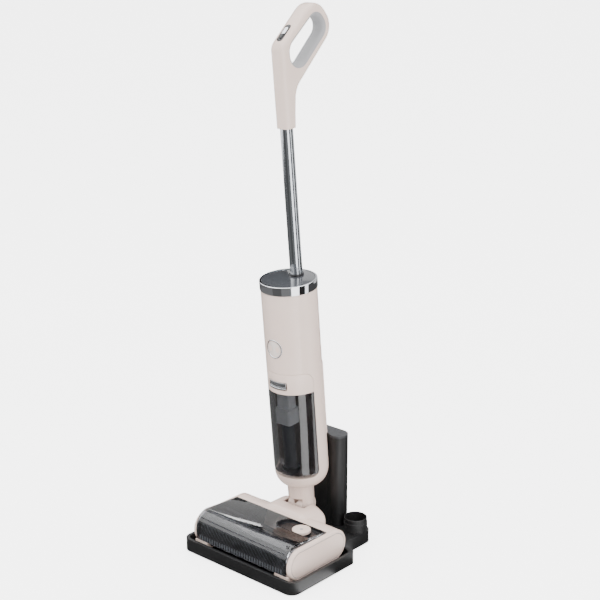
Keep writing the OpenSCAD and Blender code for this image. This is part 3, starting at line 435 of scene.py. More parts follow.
# Gold flash over nickel: small warm glints in the dark dock
CONTACT = polished_metal("gold_plated_contact", "#d8b35c", 0.2)
# As cast, lightly blasted: dull silver with soft highlights
ALUMINIUM = polished_metal("die_cast_aluminium", "#a5a8ad", 0.45, 0.02)
# Deep tank seen through two walls: nearly black, with long bright reflections down its sides
SMOKE_TANK = smoked_polycarbonate("smoked_tank_polycarbonate", "#c6c6c8", 0.02)
# Single wall, dyed a little darker: the roller shows through as a soft band
SMOKE_WINDOW = smoked_polycarbonate("smoked_window_polycarbonate", "#b9babd", 0.02)
# Cut pile in two greys: matt and deep, with bands that spiral along the roller
NAP = microfibre("microfibre_roller_pile", "#34363a", "#55585d")


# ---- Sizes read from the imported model, in millimetres ----

upper_low, upper_high = reach("upper_shell", BODY)
tank_low, tank_high = reach("tank_shell", BODY)
ring_low, ring_high = reach("chrome_ring", BODY)
_, plate_high = reach("top_plate", BODY)
pole_low, pole_high = reach("pole_tube", BODY)
clean_low, clean_high = reach("clean_tank", BODY)
stem_low, _ = reach("handle_shell_right", BODY)
_, neck_high = reach("neck_yoke", NECK)
window_low, window_high = reach("roller_window")
knob_low, knob_high = reach("window_knob")
tray_low, tray_high = reach("dock_tray")
post_low, post_high = reach("dock_post")
_, post_cap_high = reach("dock_post_cap")
cup_low, cup_high = reach("accessory_cup")

BODY_R = upper_high.x
PAST_BODY = BODY_R + 12  # how far a shape that cuts the body reaches past it
SHELL = 2.5  # casing wall
TANK_WALL = 2
SEAM = 0.6  # gap round the tank
CLEARANCE = 0.3
BAND_GROWTH = 1.5  # how far the chrome band and the clean tank stand proud of the body

# Heights along the body
BOWL_T = 51.5
TANK_T = tank_low.z
LID_T = tank_high.z
SEAM_T = upper_low.z
BAND_T = ring_low.z
TOP_T = ring_high.z
TANK_BACK = tank_high.y


# ---- Body ----

def body_profile(inset, top):
    """Half section of the housing: a flat floor, a full round up to the straight wall, then the wall."""
    floor_r = BODY_R * 0.5
    rise = TANK_T - BOWL_T + 8
    fullness = 0.9
    curve = []
    for i in range(19):
        a = math.radians(-90 + 5 * i)
        out, up = math.cos(a) ** fullness, 1 - abs(math.sin(a)) ** fullness
        r = floor_r + (BODY_R - floor_r) * out - inset * out
        curve.append((r, BOWL_T + rise * up + inset * (1 - up)))
    return [(CENTRE, BOWL_T + inset)] + curve + [(BODY_R - inset, top), (CENTRE, top)]


def tank_opening(grow):
    """Side outline of the space that the tank and its lid fill, with its rear corners rounded."""
    rear = TANK_BACK + CLEARANCE + grow
    low, high = TANK_T - CLEARANCE - grow, SEAM_T + grow
    corners = [(-PAST_BODY, low), (rear, low), (rear, high), (-PAST_BODY, high)]
    return rounded(corners, [0, 15 + grow, 22 + grow, 0])


def body_prism(name, outline):
    """A side outline carried right across the body."""
    return prism(name, outline, -PAST_BODY, PAST_BODY, "x", BODY)


def build_housing():
    """The casing in one shell: bowl, spine and upper body, open at the rear for the clean-water tank."""
    housing = lathe("body_housing", body_profile(0, BAND_T), BODY)
    cavity = lathe("cavity", body_profile(SHELL, BAND_T + 5), BODY)
    combine(cavity, [body_prism("keep", tank_opening(SHELL))])
    gap = 0.4
    clean_space = box(
        "clean_space", (clean_low.x - gap, clean_high.x + gap), (clean_low.y - CLEARANCE, BODY_R + 9),
        (clean_low.z - gap, SEAM_T), BODY,
    )
    combine(housing, [body_prism("opening", tank_opening(0)), cavity, clean_space])
    eased(housing, 0.7, 2, 40)
    return fit(housing, "upright", "body_beige", BEIGE, "upper_shell", "rear_shell", "lower_bowl")


def build_tank():
    """The smoked tank: one wall all round, open at the top, with a fillet round its floor."""
    low = TANK_T + 0.2
    floor_r = 9

    def turned(name, wall, top):
        fillet = arc((BODY_R - floor_r, low + floor_r), floor_r - wall, -90, 0, 10)
        solid = lathe(name, [(CENTRE, low + wall)] + fillet + [(BODY_R - wall, top), (CENTRE, top)], BODY)
        return combine(solid, [body_prism("keep", tank_opening(-SEAM - wall))], "INTERSECT")

    tank = turned("dirty_tank_wall", 0, LID_T)
    combine(tank, [turned("inner", TANK_WALL, LID_T + 3)])
    return fit(tank, "dirty_tank", "smoke_tank", SMOKE_TANK, "tank_shell")


def build_lid():
    """The tank's lid, with a pocket for the latch in front and a seat for the filter below."""
    lid = drum("tank_lid_cover", BODY_R, LID_T, SEAM_T + 5, BODY)
    combine(lid, [body_prism("keep", tank_opening(-SEAM))], "INTERSECT")
    latch_low, latch_high = reach("tank_latch", BODY)
    half = latch_high.x + 1.6
    outline = rectangle((-half, half), (latch_low.z - 1.5, latch_high.z + 1.5), 3.5)
    depths = (-BODY_R - 5, 13.6 - BODY_R)
    pocket = loft("pocket", [[(x, v, t) for x, t in outline] for v in depths], BODY)
    filter_low, filter_high = reach("tank_filter", BODY)
    middle = (filter_low + filter_high) / 2
    place = BODY @ Matrix.Translation((0, middle.y, filter_low.z + 9.7))
    seat = drum("seat", filter_high.x + 0.2, -10, 30, place)
    combine(lid, [pocket, seat])
    eased(lid, 0.5, 2, 40)
    return fit(lid, "dirty_tank", "body_beige", BEIGE, "tank_lid")


def arc_bar(name, section, from_angle, to_angle, steps=28):
    """Sweeps a (radius, height) section round the body's axis. Angle 0 is the front."""
    rows = []
    for i in range(steps + 1):
        a = math.radians(from_angle + (to_angle - from_angle) * i / steps)
        rows.append([(r * math.sin(a), -r * math.cos(a), t) for r, t in section])
    return loft(name, rows, BODY)


def build_latch():
    """A curved bar with a finger lip below it, and a dark sheet in the pocket behind it: painted shade for
    the pocket's shadowed walls.
    """
    low, high = reach("tank_latch", BODY)
    t0, t1, r = low.z, high.z, BODY_R
    half = math.degrees(math.asin(high.x / (r + 2)))
    bar = [(r - 5.5, t0 + 5), (r - 0.4, t0 + 5), (r + 0.4, t0 + 7), (r - 0.4, t1), (r - 5.5, t1)]
    lip = [(r - 5.5, t0), (r + 0.6, t0), (r + 1.4, t0 + 1), (r + 1.4, t0 + 3.6), (r - 5.5, t0 + 4.6)]
    pieces = [eased(arc_bar("bar", section, -half, half), 0.6) for section in (bar, lip)]
    fit(joined("tank_latch_bar", pieces), "latch", "display_rim", LATCH, "tank_latch")
    # Painted shade: a dark sheet in the latch's pocket, where the pocket's beige walls fall into shadow
    painted_shade_sheet = [(r - 9.2, t0 - 1.3), (r - 8.6, t0 - 1.3), (r - 8.6, t1 + 1.3), (r - 9.2, t1 + 1.3)]
    fit(arc_bar("latch_pocket_painted_shade", painted_shade_sheet, -half, half), "dirty_tank", "inlet_black", INLET)


def disc_on_body(name, profile, centre_t, segments=96):
    """A round piece on the body's front. Its (radius, height) profile stands on the body's curved wall."""
    rows = []
    for i in range(segments):
        a = math.tau * i / segments
        row = []
        for r, h in profile:
            x = r * math.cos(a)
            row.append((x, -math.sqrt((BODY_R + h) ** 2 - x * x), centre_t + r * math.sin(a)))
        rows.append(row)
    return loft(name, rows, BODY, ring=True)


def build_display():
    """A plated rim and a lacquered disc, both bent to the body's curve."""
    low, high = reach("display_ring", BODY)
    centre, r = (low.z + high.z) / 2, high.x
    rim = [
        (r - 2.6, -1.4), (r + 0.3, -1.4), (r + 0.3, 0.2), (r - 0.2, 0.9), (r - 1.2, 1.2), (r - 2.2, 0.7),
        (r - 2.6, -0.2),
    ]
    ring = disc_on_body("display_rim_ring", rim, centre)
    fit(ring, "upright", "display_rim", LATCH, "display_ring", angle=50)
    face = [(CENTRE, -1.4), (r - 2.7, -1.4), (r - 2.7, -0.3), (r - 4.5, 0.15), (CENTRE, 0.5)]
    disc = disc_on_body("display_face_disc", face, centre)
    fit(disc, "upright", "display_face", DISPLAY, "display_lens", angle=50)


def build_top():
    """The chrome band with the grey plate let into it, then the pole in its dark collar."""
    r, inner, plate_t = BODY_R + BAND_GROWTH, plate_high.x + 0.5, plate_high.z
    band = [(inner - 2, BAND_T), (r - 0.8, BAND_T), (r, BAND_T + 0.8)]
    band += arc((r - 1.4, TOP_T - 1.4), 1.4, 0, 90, 6)
    band += [(inner, TOP_T), (inner, plate_t - 3.9), (inner - 2, plate_t - 3.9)]
    fit(lathe("chrome_band", band, BODY, 192), "upright", "chrome", CHROME, "chrome_ring")
    r = plate_high.x
    face = [(CENTRE, plate_t - 3.8), (r, plate_t - 3.8)] + arc((r - 0.7, plate_t - 0.7), 0.7, 0, 90, 4)
    plate = lathe("top_plate_disc", face + [(CENTRE, plate_t)], BODY, 192)
    fit(plate, "upright", "plate_grey", PLATE, "top_plate")
    r = pole_high.x
    collar_low, collar_high = reach("pole_collar", BODY)
    t0, t1, collar_r = collar_low.z, collar_high.z, collar_high.x
    ring = [(r + 0.02, t0), (collar_r, t0)] + arc((collar_r - 1, t1 - 1), 1, 0, 90, 5) + [(r + 0.02, t1)]
    fit(lathe("pole_collar_ring", ring, POLE_FRAME), "upright", "inlet_black", PANEL_BLACK, "pole_collar")
    t0, t1, wall = plate_t - 20, pole_high.z, 1.2
    tube = [(r - wall, t0), (r, t0), (r, t1), (r - wall, t1)]
    fit(lathe("pole_tube_polished", tube, POLE_FRAME), "upright", "pole_steel", POLE, "pole_tube")


POLE_FRAME = BODY @ Matrix.Translation((0, (pole_low.y + pole_high.y) / 2, 0))


# ---- Handle ----

HANDLE = POLE_FRAME @ Matrix.Translation((0, 0, stem_low.z))
STEM_R = 14
# Side outlines as (back from the pole, up from the stem's foot), and the rounding of each corner
LOOP = [
    (-STEM_R, -8), (-STEM_R, 0), (-15, 156.5), (91, 238), (139, 169), (21.5, 71.5), (16, 29), (STEM_R, 0),
    (STEM_R, -8),
]
LOOP_ROUNDING = [0, 0, 22, 39, 36, 40, 20, 0, 0]
HOLE = [(11, 90), (11, 151.5), (87.5, 205), (111, 172)]
HOLE_ROUNDING = [22, 22, 18, 18]
HANDLE_HALF = 16.5
LOOP_FILLET = 9.2


def side_curve(outlines, half, fillet):
    """A solid from side outlines (the second is a hole), half thick each way, with its edges rounded over."""
    curve = bpy.data.curves.new("side", "CURVE")
    curve.dimensions = "2D"
    curve.fill_mode = "BOTH"
    curve.extrude = (half - fillet) * MM
    curve.bevel_depth = fillet * MM
    curve.bevel_resolution = 6
    curve.offset = -fillet * MM
    for outline in outlines:
        spline = curve.splines.new("POLY")
        spline.points.add(len(outline) - 1)
        for point, (v, t) in zip(spline.points, outline):
            point.co = (v * MM, t * MM, 0, 1)
        spline.use_cyclic_u = True
    piece = linked("side", curve)
    bpy.context.view_layer.update()
    mesh = bpy.data.meshes.new_from_object(piece.evaluated_get(bpy.context.evaluated_depsgraph_get()))
    bpy.data.objects.remove(piece)
    flat_to_side = Matrix(((0, 0, 1, 0), (1, 0, 0, 0), (0, 1, 0, 0), (0, 0, 0, 1)))
    mesh.transform(HANDLE @ Matrix.Scale(1 / MM, 4) @ flat_to_side)
    return mesh


def build_handle():
    """The loop in one soft shell, the grip that lines its hole, and the panel with its two buttons."""
    loop = rounded(LOOP, LOOP_ROUNDING, 14)
    hole = rounded(HOLE, HOLE_ROUNDING, 14)
    shell = closed_solid("handle_loop_shell", side_curve([loop, hole], HANDLE_HALF, LOOP_FILLET), 5e-6)
    below = box("below", (-40, 40), (-40, 40), (-30, 0), HANDLE)
    combine(shell, [below])
    grip = shell.copy()
    grip.data = shell.data.copy()
    grip.name = "handle_loop_grip"
    bpy.context.scene.collection.objects.link(grip)

    def ring(grow):
        """The hole's outline moved outwards by the same distance on every side."""
        moves = [(-1, -1.9), (-1, 0.53), (0.25, 1.39), (1.39, -0.25)]
        corners = [(v + grow * dv, t + grow * dt) for (v, t), (dv, dt) in zip(HOLE, moves)]
        return prism("ring", rounded(corners, [r + grow for r in HOLE_ROUNDING], 14), -30, 30, "x", HANDLE)

    combine(grip, [ring(6.4)], "INTERSECT")
    combine(shell, [ring(6.6)])
    fit(grip, "upright", "grip_grey", GRIP, "handle_grip", angle=40)
    slope = math.atan2(LOOP[3][1] - LOOP[2][1], LOOP[3][0] - LOOP[2][0])
    panel = HANDLE @ Matrix.Translation((0, LOOP[2][0], LOOP[2][1])) @ Matrix.Rotation(slope, 4, "X")
    plate = prism("control_panel_plate", rectangle((-6.8, 6.8), (12, 53), 6), -2.0, 0.7, "z", panel)
    wells = [((-4.9, 4.9), (28.1, 45.9), 4.3), ((-2.8, 2.8), (17.2, 22.8), 2.79)]
    well_depth = 5.5
    for piece in (plate, shell):
        combine(piece, [prism("well", rectangle(*well), -well_depth, 5, "z", panel) for well in wells])
    fit(shell, "upright", "body_beige", BEIGE, "handle_shell_left", "handle_shell_right", angle=40)
    fit(eased(plate, 0.4), "upright", "inlet_black", PANEL_BLACK, "control_panel")
    foot = -1.6
    key = prism("power_button_cap", rectangle((-4.6, 4.6), (28.4, 45.6), 4), foot, 2.4, "z", panel)
    fit(eased(key, 0.9, 4), "power_button", "display_rim", LATCH, "power_button")
    dot = prism("mode_button_cap", rectangle((-2.5, 2.5), (17.5, 22.5), 2.5), foot, 2.0, "z", panel)
    fit(eased(dot, 0.6, 4), "mode_button", "button_black", BUTTON_BLACK, "mode_button")


# ---- Neck ----

def build_neck():
    """A round neck that ends in a half roll, open for the duct, with its pivot's cover beside it."""
    r, top = neck_high.x, neck_high.z
    low = r - 1
    neck = lathe("neck_shell", [(CENTRE, -low), (low, -low), (low, 0), (r, top), (CENTRE, top)], NECK)
    side = arc((0, 0), low, 180, 360, 40) + [(r + 1, 0), (r + 1, top + 1), (-r - 1, top + 1), (-r - 1, 0)]
    combine(neck, [prism("side", side, -r - 1, r + 1, "x", NECK)], "INTERSECT")
    lug = r - 8
    gap = box("gap", (-lug, lug), (-r - 1, r + 1), (-r - 1, lug + 4), NECK)
    combine(neck, [gap])
    eased(neck, 0.8, 3, 40)
    fit(neck, "neck", "body_beige", BEIGE, "neck_yoke")
    around = math.radians(15)
    out = Vector((math.cos(around), -math.sin(around), 0))
    along = Vector((-out.y, out.x, 0))
    mark = rectangle((-4.2, 4.2), (5.5, 13.9), 1)
    middle = 9.7
    rows = [
        [out * depth + along * x * size + Vector((0, 0, middle + (t - middle) * size)) for x, t in mark]
        for depth, size in ((r - 3, 1), (r - 0.9, 1), (r - 0.5, 0.92))
    ]
    fit(loft("pivot_cover_plug", rows, NECK), "neck", "pale_plastic", BEIGE_TANK)


# ---- Clean-water tank ----

def build_clean_tank():
    """The rear tank, round outside, with a finger groove near its top."""
    r = BODY_R + BAND_GROWTH
    t0, t1 = clean_low.z, clean_high.z
    tank = drum("clean_tank_shell", r, t0, t1, BODY)
    outline = rectangle((clean_low.x, clean_high.x), (clean_low.y, BODY_R + 30), 4)
    combine(tank, [prism("keep", outline, t0 - 1, t1 + 1, "z", BODY)], "INTERSECT")
    eased(tank, 1.4, 4, 40)
    groove = box("groove", (-30, 30), (r - 1.4, r + 5), (t1 - 26, t1 - 16), BODY)
    combine(tank, [groove])
    fit(tank, "clean_tank", "clean_tank_beige", BEIGE_TANK, "clean_tank")


def build_float():
    """The foam ring that rides up the inlet tube."""
    low, high = reach("tank_float", BODY)
    middle = (low + high) / 2
    r = high.x - 1.5
    inner = r - 4.1
    curve = arc((r - 3.2, low.z + 8), 3.2, -62, 0, 8)
    profile = [(inner, low.z + 1), (inner + 0.8, low.z + 0.4)] + curve + arc((r - 2, high.z - 2), 2, 0, 90, 5)
    profile += [(inner, high.z)]
    place = BODY @ Matrix.Translation((0, middle.y, 0))
    fit(lathe("float_ring", profile, place), "float", "float_amber", FLOAT, "tank_float")


# ---- Floor head ----

# Centres seen from the side are (y, z)
HEAD_FRONT = -134
CAP_FRONT = (-99.5, 46.5)
CAP_REAR = (4.5, 46.5)
CAP_R = 33.5
NOSE = (-102, 56)
NOSE_R = 32
GLASS_HALF = 124.9
GLASS_WALL = 2.6
COVER_WALL = 2.5
WINDOW_LOW, WINDOW_REAR = window_low.z, window_high.y
PLATE_IN, PLATE_OUT = 121.3, 125.3
ROLLER = (-96, 43)
WHEEL = (30, 36.3)
WHEEL_X = 93.3
WHEEL_HALF = 9
WHEEL_R = 29
SIDES = ((1, "right"), (-1, "left"))


def side_profile(inset):
    """Side outline of the head's top, as (y, z): up the nose, over the top, and down the rear."""
    nose = arc(NOSE, NOSE_R - inset, 180, 93, 20)
    rear = arc(CAP_REAR, CAP_R - inset, 88, -90, 32)
    return [(HEAD_FRONT + inset, WINDOW_LOW)] + nose + rear + [(-54.5, 13 + inset)]


def stadium(inset):
    """Outline of an end cap: two half rounds joined by straight runs."""
    return arc(CAP_REAR, CAP_R - inset, 90, -90, 32) + arc(CAP_FRONT, CAP_R - inset, -90, -270, 32)


def side_plate_spaces(inset):
    """Room for the chassis's two side plates."""
    limits = ((PLATE_IN - 0.3, 127), (-127, 0.3 - PLATE_IN))
    return [prism("side", stadium(inset), x0, x1, "x") for x0, x1 in limits]


def recess_outline(grow):
    """The D of the knob's recess, with its straight side by the right cap."""
    inner, outer, front, rear = 24.3 - grow, 118.3 + grow, -60.5 - grow, -15.5 + grow
    return rounded([(inner, front), (outer, front), (outer, rear), (inner, rear)], [19, 4, 4, 19])


def build_window():
    """The smoked window over the roller, with its recess, its guide ribs and a stud in its front corner."""
    glass = prism("roller_window_glass", side_profile(0), -GLASS_HALF, GLASS_HALF, "x")
    keep = box("keep", (-130, 130), (HEAD_FRONT - 1, WINDOW_REAR), (WINDOW_LOW, 95))
    combine(glass, [keep], "INTERSECT")
    eased(glass, 3.2, 5, 60)
    inner = prism("inner", side_profile(GLASS_WALL), -GLASS_HALF + GLASS_WALL, GLASS_HALF - GLASS_WALL, "x")
    open_low = box("open_low", (-122.3, 122.3), (HEAD_FRONT + GLASS_WALL, 0), (0, 32))
    open_rear = box("open_rear", (-122.3, 122.3), (-60, 10), (0, 77))
    recess_floor, above = 76, 110
    recess = prism("recess", recess_outline(2.2), 60, above, "z")
    combine(glass, [inner, open_low, open_rear, recess] + side_plate_spaces(-0.5))
    fit(glass, "window", "smoke_window", SMOKE_WINDOW, "roller_window")
    tub = prism("knob_recess_tub", recess_outline(2), recess_floor - 2, 95, "z")
    top = prism("top", side_profile(0.05), -GLASS_HALF, GLASS_HALF, "x")
    combine(tub, [top], "INTERSECT")
    combine(tub, [prism("space", recess_outline(0), recess_floor, above, "z")])
    eased(tub, 0.5, 2, 50)
    fit(tub, "window", "smoke_window", PANEL_BLACK)
    pitch, half = 7, 1.3
    depth = (HEAD_FRONT - 0.5, HEAD_FRONT + 0.5)
    ribs = [box("rib", (i * pitch - half, i * pitch + half), depth, (31, 42)) for i in range(-16, 17)]
    fit(joined("window_guide_ribs", ribs), "window", "smoke_window", PUMP)
    out = Vector((0, -15, 28.3)).normalized()
    spot = frame_at((Vector((115, *NOSE)) + out * NOSE_R) * MM, X_AXIS, out.cross(X_AXIS), out)
    stud = [(CENTRE, -1.6), (3.8, -1.6), (3.8, 0.4)] + arc((3.2, 0.4), 0.6, 0, 90, 4)
    stud += [(2, 0.7), (CENTRE, 0.7)]
    fit(lathe("window_corner_stud", stud, spot, 48), "window", "inlet_black", INLET)


def build_knob():
    """The release knob, dished a little, with a grey dot let into its middle."""
    low, top = knob_low.z, knob_high.z
    x, y = (knob_low.x + knob_high.x) / 2, (knob_low.y + knob_high.y) / 2
    r = (knob_high.x - knob_low.x) / 2
    place = standing(x, y)
    disc = [(CENTRE, low), (r - 0.6, low), (r, low + 0.6)] + arc((r - 1.6, top - 1.6), 1.6, 0, 90, 6)
    disc += [(4.2, top - 0.3), (3.6, top - 1), (CENTRE, top - 1)]
    fit(lathe("window_knob_disc", disc, place), "knob", "body_beige", BEIGE, "window_knob")
    dot = [(CENTRE, top - 1), (3.4, top - 1), (3.3, top - 0.5), (CENTRE, top - 0.3)]
    fit(lathe("knob_dot", dot, place), "knob", "float_amber", GRIP)


def wheel_boxes(grow, low, high):
    """Room round both wheels, between two heights."""
    half = WHEEL_HALF + 3 + grow
    return [box("well", (s * WHEEL_X - half, s * WHEEL_X + half), (-6, 60), (low, high)) for s in (-1, 1)]


def rod(name, radius, x0, x1, y, z, segments=96):
    """A round bar across the head, between two places along its width."""
    return drum(name, radius, x0, x1, lying(0, y, z), segments)


def hump(name, inset):
    """Soft rise that carries the pivot: rounded sections that follow a smooth curve up from the cover."""
    # Height, half width, front and rear of each section
    stations = [
        (54, 78, -9.5, 42), (60, 77, -9.5, 46), (66, 73, -9.2, 51), (71, 67, -8, 56), (76, 60, -6, 58.5),
        (80, 54, -4, 58), (83, 50, -2, 57.3), (85.5, 46, 0, 56.4), (87.3, 42, 2.5, 55), (88.3, 38.5, 5.5, 53),
    ]
    rows = []
    for z, half, front, rear in stations:
        outline = rectangle((-half + inset, half - inset), (front + inset, rear - inset), 11 - inset)
        rows.append([(x, y, z - inset) for x, y in outline])
    return loft(name, rows)


def build_cover():
    """The beige cover behind the window, with its hump, hollow inside and open for the neck and wheels."""
    cover = prism("head_cover_shell", side_profile(0), -GLASS_HALF, GLASS_HALF, "x")
    combine(cover, [box("keep", (-130, 130), (WINDOW_REAR + 0.35, 60), (16, 95))], "INTERSECT")
    eased(cover, 2.4, 4, 60)
    combine(cover, [hump("rise", 0)], "UNION")
    half = GLASS_HALF - COVER_WALL
    inner = prism("inner", side_profile(COVER_WALL), -half, half, "x")
    combine(inner, [box("keep", (-130, 130), (-30, 60), (-5, 95))], "INTERSECT")
    _, py, pz = (v / MM for v in JOINTS["recline"]["pos_m"])
    reach_x = neck_high.x + 1
    well = rod("well", neck_high.x + 1.2, -reach_x, reach_x, py, pz)
    behind = box("behind", (-reach_x, reach_x), (py, py + 60), (40, 160))
    elbow_low, elbow_high = reach("suction_elbow")
    front = elbow_low.y - 0.6
    duct_r, duct_top, duct_low = 22.6, 42.8, 5
    duct = arc((py, pz), duct_r, -60, 128, 24) + [(front, duct_top), (front, duct_low), (py, duct_low)]
    elbow = prism("elbow", duct, elbow_low.x - 0.4, elbow_high.x + 0.4, "x")
    wells = wheel_boxes(0.3, 0, 44.5)
    half = WHEEL_HALF + 3.3
    wheel_space = WHEEL_R + 1.8
    rounds = [rod("round", wheel_space, s * WHEEL_X - half, s * WHEEL_X + half, *WHEEL) for s in (-1, 1)]
    hollow = [inner, hump("inside", COVER_WALL), well, behind, elbow]
    combine(cover, hollow + side_plate_spaces(3.2) + wells + rounds)
    fit(cover, "head", "body_beige", BEIGE, "head_rear_cover", angle=38)


def build_chassis():
    """The dark frame: a floor with the suction mouth, two side plates, and the wheels' cheeks and axles."""
    low, high = 13, 16
    half = WHEEL_HALF + 3
    pieces = [box("floor", (-PLATE_IN, PLATE_IN), (-54.5, 4.5), (low, high))]
    combine(pieces[0], [box("mouth", (-70, 70), (-50.5, -34.5), (10, 20))] + wheel_boxes(0, 10, 20))
    for side in (-1, 1):
        wheel_x = side * WHEEL_X
        x0, x1 = sorted((side * PLATE_IN, side * PLATE_OUT))
        pieces.append(prism("plate", stadium(3.5), x0, x1, "x"))
        x0, x1 = sorted((side * (PLATE_IN - 19), side * PLATE_IN))
        pieces.append(rod("pin", 4.8, x0, x1, *ROLLER, 48))
        pieces.append(rod("axle", 4, wheel_x - half, wheel_x + half, *WHEEL, 48))
        outline = [(-5, low), (-5, 40.3), (26, 43.3), (37, 43.3), (37, 31), (6, low)]
        for edge in (-1, 1):
            x = wheel_x + edge * (half - 1.5)
            pieces.append(eased(prism("cheek", outline, x - 1.5, x + 1.5, "x"), 0.5, 2))
        pieces.append(box("web", (wheel_x - half, wheel_x + half), (-5, 0.5), (low, 40.3)))
    fit(joined("head_frame", pieces), "head", "chassis_grey", CHASSIS, "head_chassis")


def cap_rows(side, sections):
    """Stadium outlines at distances from the head's middle, each inset by its own amount."""
    return [[(side * x, y, z) for y, z in stadium(inset)] for x, inset in sections]


def build_caps():
    """The end caps: a rounded stadium, a fine groove with a grey line in it, and a chin below the window."""
    shell = ((125.3, 0), (129.6, 0), (130.9, 0.35), (132.0, 1.1), (132.7, 2.2), (133, 3.6))
    for side, name in SIDES:
        cap = loft("end_cap_" + name + "_shell", cap_rows(side, shell))
        groove = loft("groove", cap_rows(side, ((131.7, 6.0), (134, 6.0))))
        island = loft("island", cap_rows(side, ((131, 7.5), (135, 7.5))))
        combine(cap, [combine(groove, [island])])
        line = loft("end_cap_" + name + "_line", cap_rows(side, ((131.5, 6.1), (132.2, 6.1))))
        combine(line, [loft("island", cap_rows(side, ((131, 7.4), (133, 7.4))))])
        fit(line, "head", "grip_grey", GRIP)
        low_side = [(-133.6, 28.6), (-133.2, 21), (-128, 13.2), (-113.5, 13.2), (-113.5, 28.6)]
        x0, x1 = sorted((side * 93.5, side * 126.6))
        chin = prism("chin", rounded(low_side, [0, 6, 6, 0, 0]), x0, x1, "x")
        x0, x1 = sorted((side * 90, side * 116.2))
        combine(chin, [rod("roller_space", 34.9, x0, x1, *ROLLER)])
        eased(chin, 0.8, 3, 40)
        piece = joined("end_cap_" + name + "_cover", [cap, chin])
        fit(piece, "head", "body_beige", BEIGE, "end_cap_" + name, angle=38)


def build_wheels():
    """Rubber wheels with a dished face and a groove round the tread."""
    r, w = WHEEL_R, WHEEL_HALF
    half = [(4.45, w), (8, w), (8, w - 2), (22, w - 2), (22, w)]
    half += [(r - 1.4, w), (r - 0.4, w - 0.6), (r, w - 1.6)]
    tread = [(r, 5), (r - 0.8, 4.6), (r - 0.8, 3.6), (r, 3.2)]
    face = half + tread
    profile = [(r, -h) for r, h in face] + face[::-1]
    for side, name in SIDES:
        wheel = lathe("wheel_" + name + "_tyre", profile, lying(side * WHEEL_X, *WHEEL))
        fit(wheel, "wheel_" + name, "wheel_black", RUBBER, "wheel_" + name)


def build_nap():
    """The pile as a real relief: spiral bands with uneven tufts, and sheared ends."""
    low, high = reach("roller_sleeve")
    y, z = ROLLER
    r = (high.z - low.z) / 2
    core = reach("roller_core")[1].z - z + 0.1
    segments, count = 168, 150
    bands, twist, sheared = 8, 0.21, 1.6
    angles = [math.tau * j / segments for j in range(segments)]
    rows = []
    for i in range(count + 1):
        x = low.x + (high.x - low.x) * i / count
        row = []
        for a in angles:
            spiral = math.sin(bands * a + x * twist)
            tuft = noise.noise(Vector((x * 0.5, 9 * math.cos(a), 9 * math.sin(a))))
            rim = sheared if i in (0, count) else 0
            out = r - 0.9 + 0.35 * spiral + 0.5 * tuft - rim
            row.append((x, y + out * math.cos(a), z + out * math.sin(a)))
        rows.append(row)
    for x in (high.x, low.x):
        rows.append([(x, y + core * math.cos(a), z + core * math.sin(a)) for a in angles])
    fit(loft("roller_pile", rows, ring=True), "roller", "nap", NAP, "roller_sleeve", angle=80)


# ---- Dock ----

DECK_HALF = 116
TRAY_TOP = 28
POST_TOP = post_cap_high.z
LOBE_X, LOBE_R, POST_Y = 42, 20, (post_low.y + post_high.y) / 2
# The hollow that cradles the body touches both lobes
CRADLE_R = 59.3
CRADLE_Y = POST_Y - math.sqrt((CRADLE_R + LOBE_R) ** 2 - LOBE_X ** 2)
BASIN_FLOOR = 7


def tray_outline():
    """The tray from above: a wide basin in front, and a narrower deck behind it."""
    half, front, rear, deck_y = tray_high.x, tray_low.y, tray_high.y, 44
    points = [
        (-half, front), (half, front), (half, deck_y), (DECK_HALF, deck_y),
        (DECK_HALF, rear), (-DECK_HALF, rear), (-DECK_HALF, deck_y), (-half, deck_y),
    ]
    return rounded(points, [20, 20, 10, 6, 20, 20, 6, 10])


def build_tray():
    """The tray: a basin with hollows for the head's rear and wheels, and a deck open from below."""
    tray = prism("dock_tray_shell", tray_outline(), 1.5, TRAY_TOP, "z")
    rim, above = 7, 40
    half, half_well = tray_high.x - rim, WHEEL_HALF + 5.3
    basin = prism("basin", rectangle((-half, half), (tray_low.y + rim, 37), 13), BASIN_FLOOR, above, "z")
    rear = prism("rear", rectangle((-109, 109), (14, 46), 5), BASIN_FLOOR, above, "z")
    wells = [
        box("well", (s * WHEEL_X - half_well, s * WHEEL_X + half_well), (29, 61.4), (BASIN_FLOOR, above))
        for s in (-1, 1)
    ]
    hollow = prism("hollow", rectangle((-113, 113), (75, 143), 8), 0, 25, "z")
    jack = box("jack", (-7, 7), (137, 150), (8.5, 18.5))
    combine(tray, [basin, rear, hollow, jack] + wells)
    eased(tray, 1.5, 4, 40)
    fit(tray, "dock", "dock_black", DOCK_BLACK, "dock_tray", angle=38)


def post_solid(name, low, high, inset):
    """A length of the post: a block with a lobe at each end, less the cradle."""
    depth = (POST_Y - LOBE_R * 0.9 + inset, POST_Y + LOBE_R - inset)
    post = box(name, (-LOBE_X, LOBE_X), depth, (low, high))
    for side in (-1, 1):
        lobe = drum("lobe", LOBE_R - inset, low, high, standing(side * LOBE_X, POST_Y), 96)
        combine(post, [lobe], "UNION")
    return combine(post, [drum("cradle", CRADLE_R + inset, low - 5, high + 5, standing(0, CRADLE_Y), 192)])


def build_post():
    """The post and its lighter cap, with a dark seam between them."""
    post = post_solid("dock_post_shell", TRAY_TOP, POST_TOP - 5.4, 0)
    fit(eased(post, 0.9, 3, 50), "dock", "dock_black", DOCK_BLACK, "dock_post")
    cap = post_solid("dock_post_top", POST_TOP - 5, POST_TOP, 0)
    fit(eased(cap, 1.1, 4, 50), "dock", "cap_grey", DOCK_CAP, "dock_post_cap")
    core = post_solid("dock_post_seam", POST_TOP - 12, POST_TOP - 2, 1.2)
    fit(core, "dock", "dock_black", INLET)


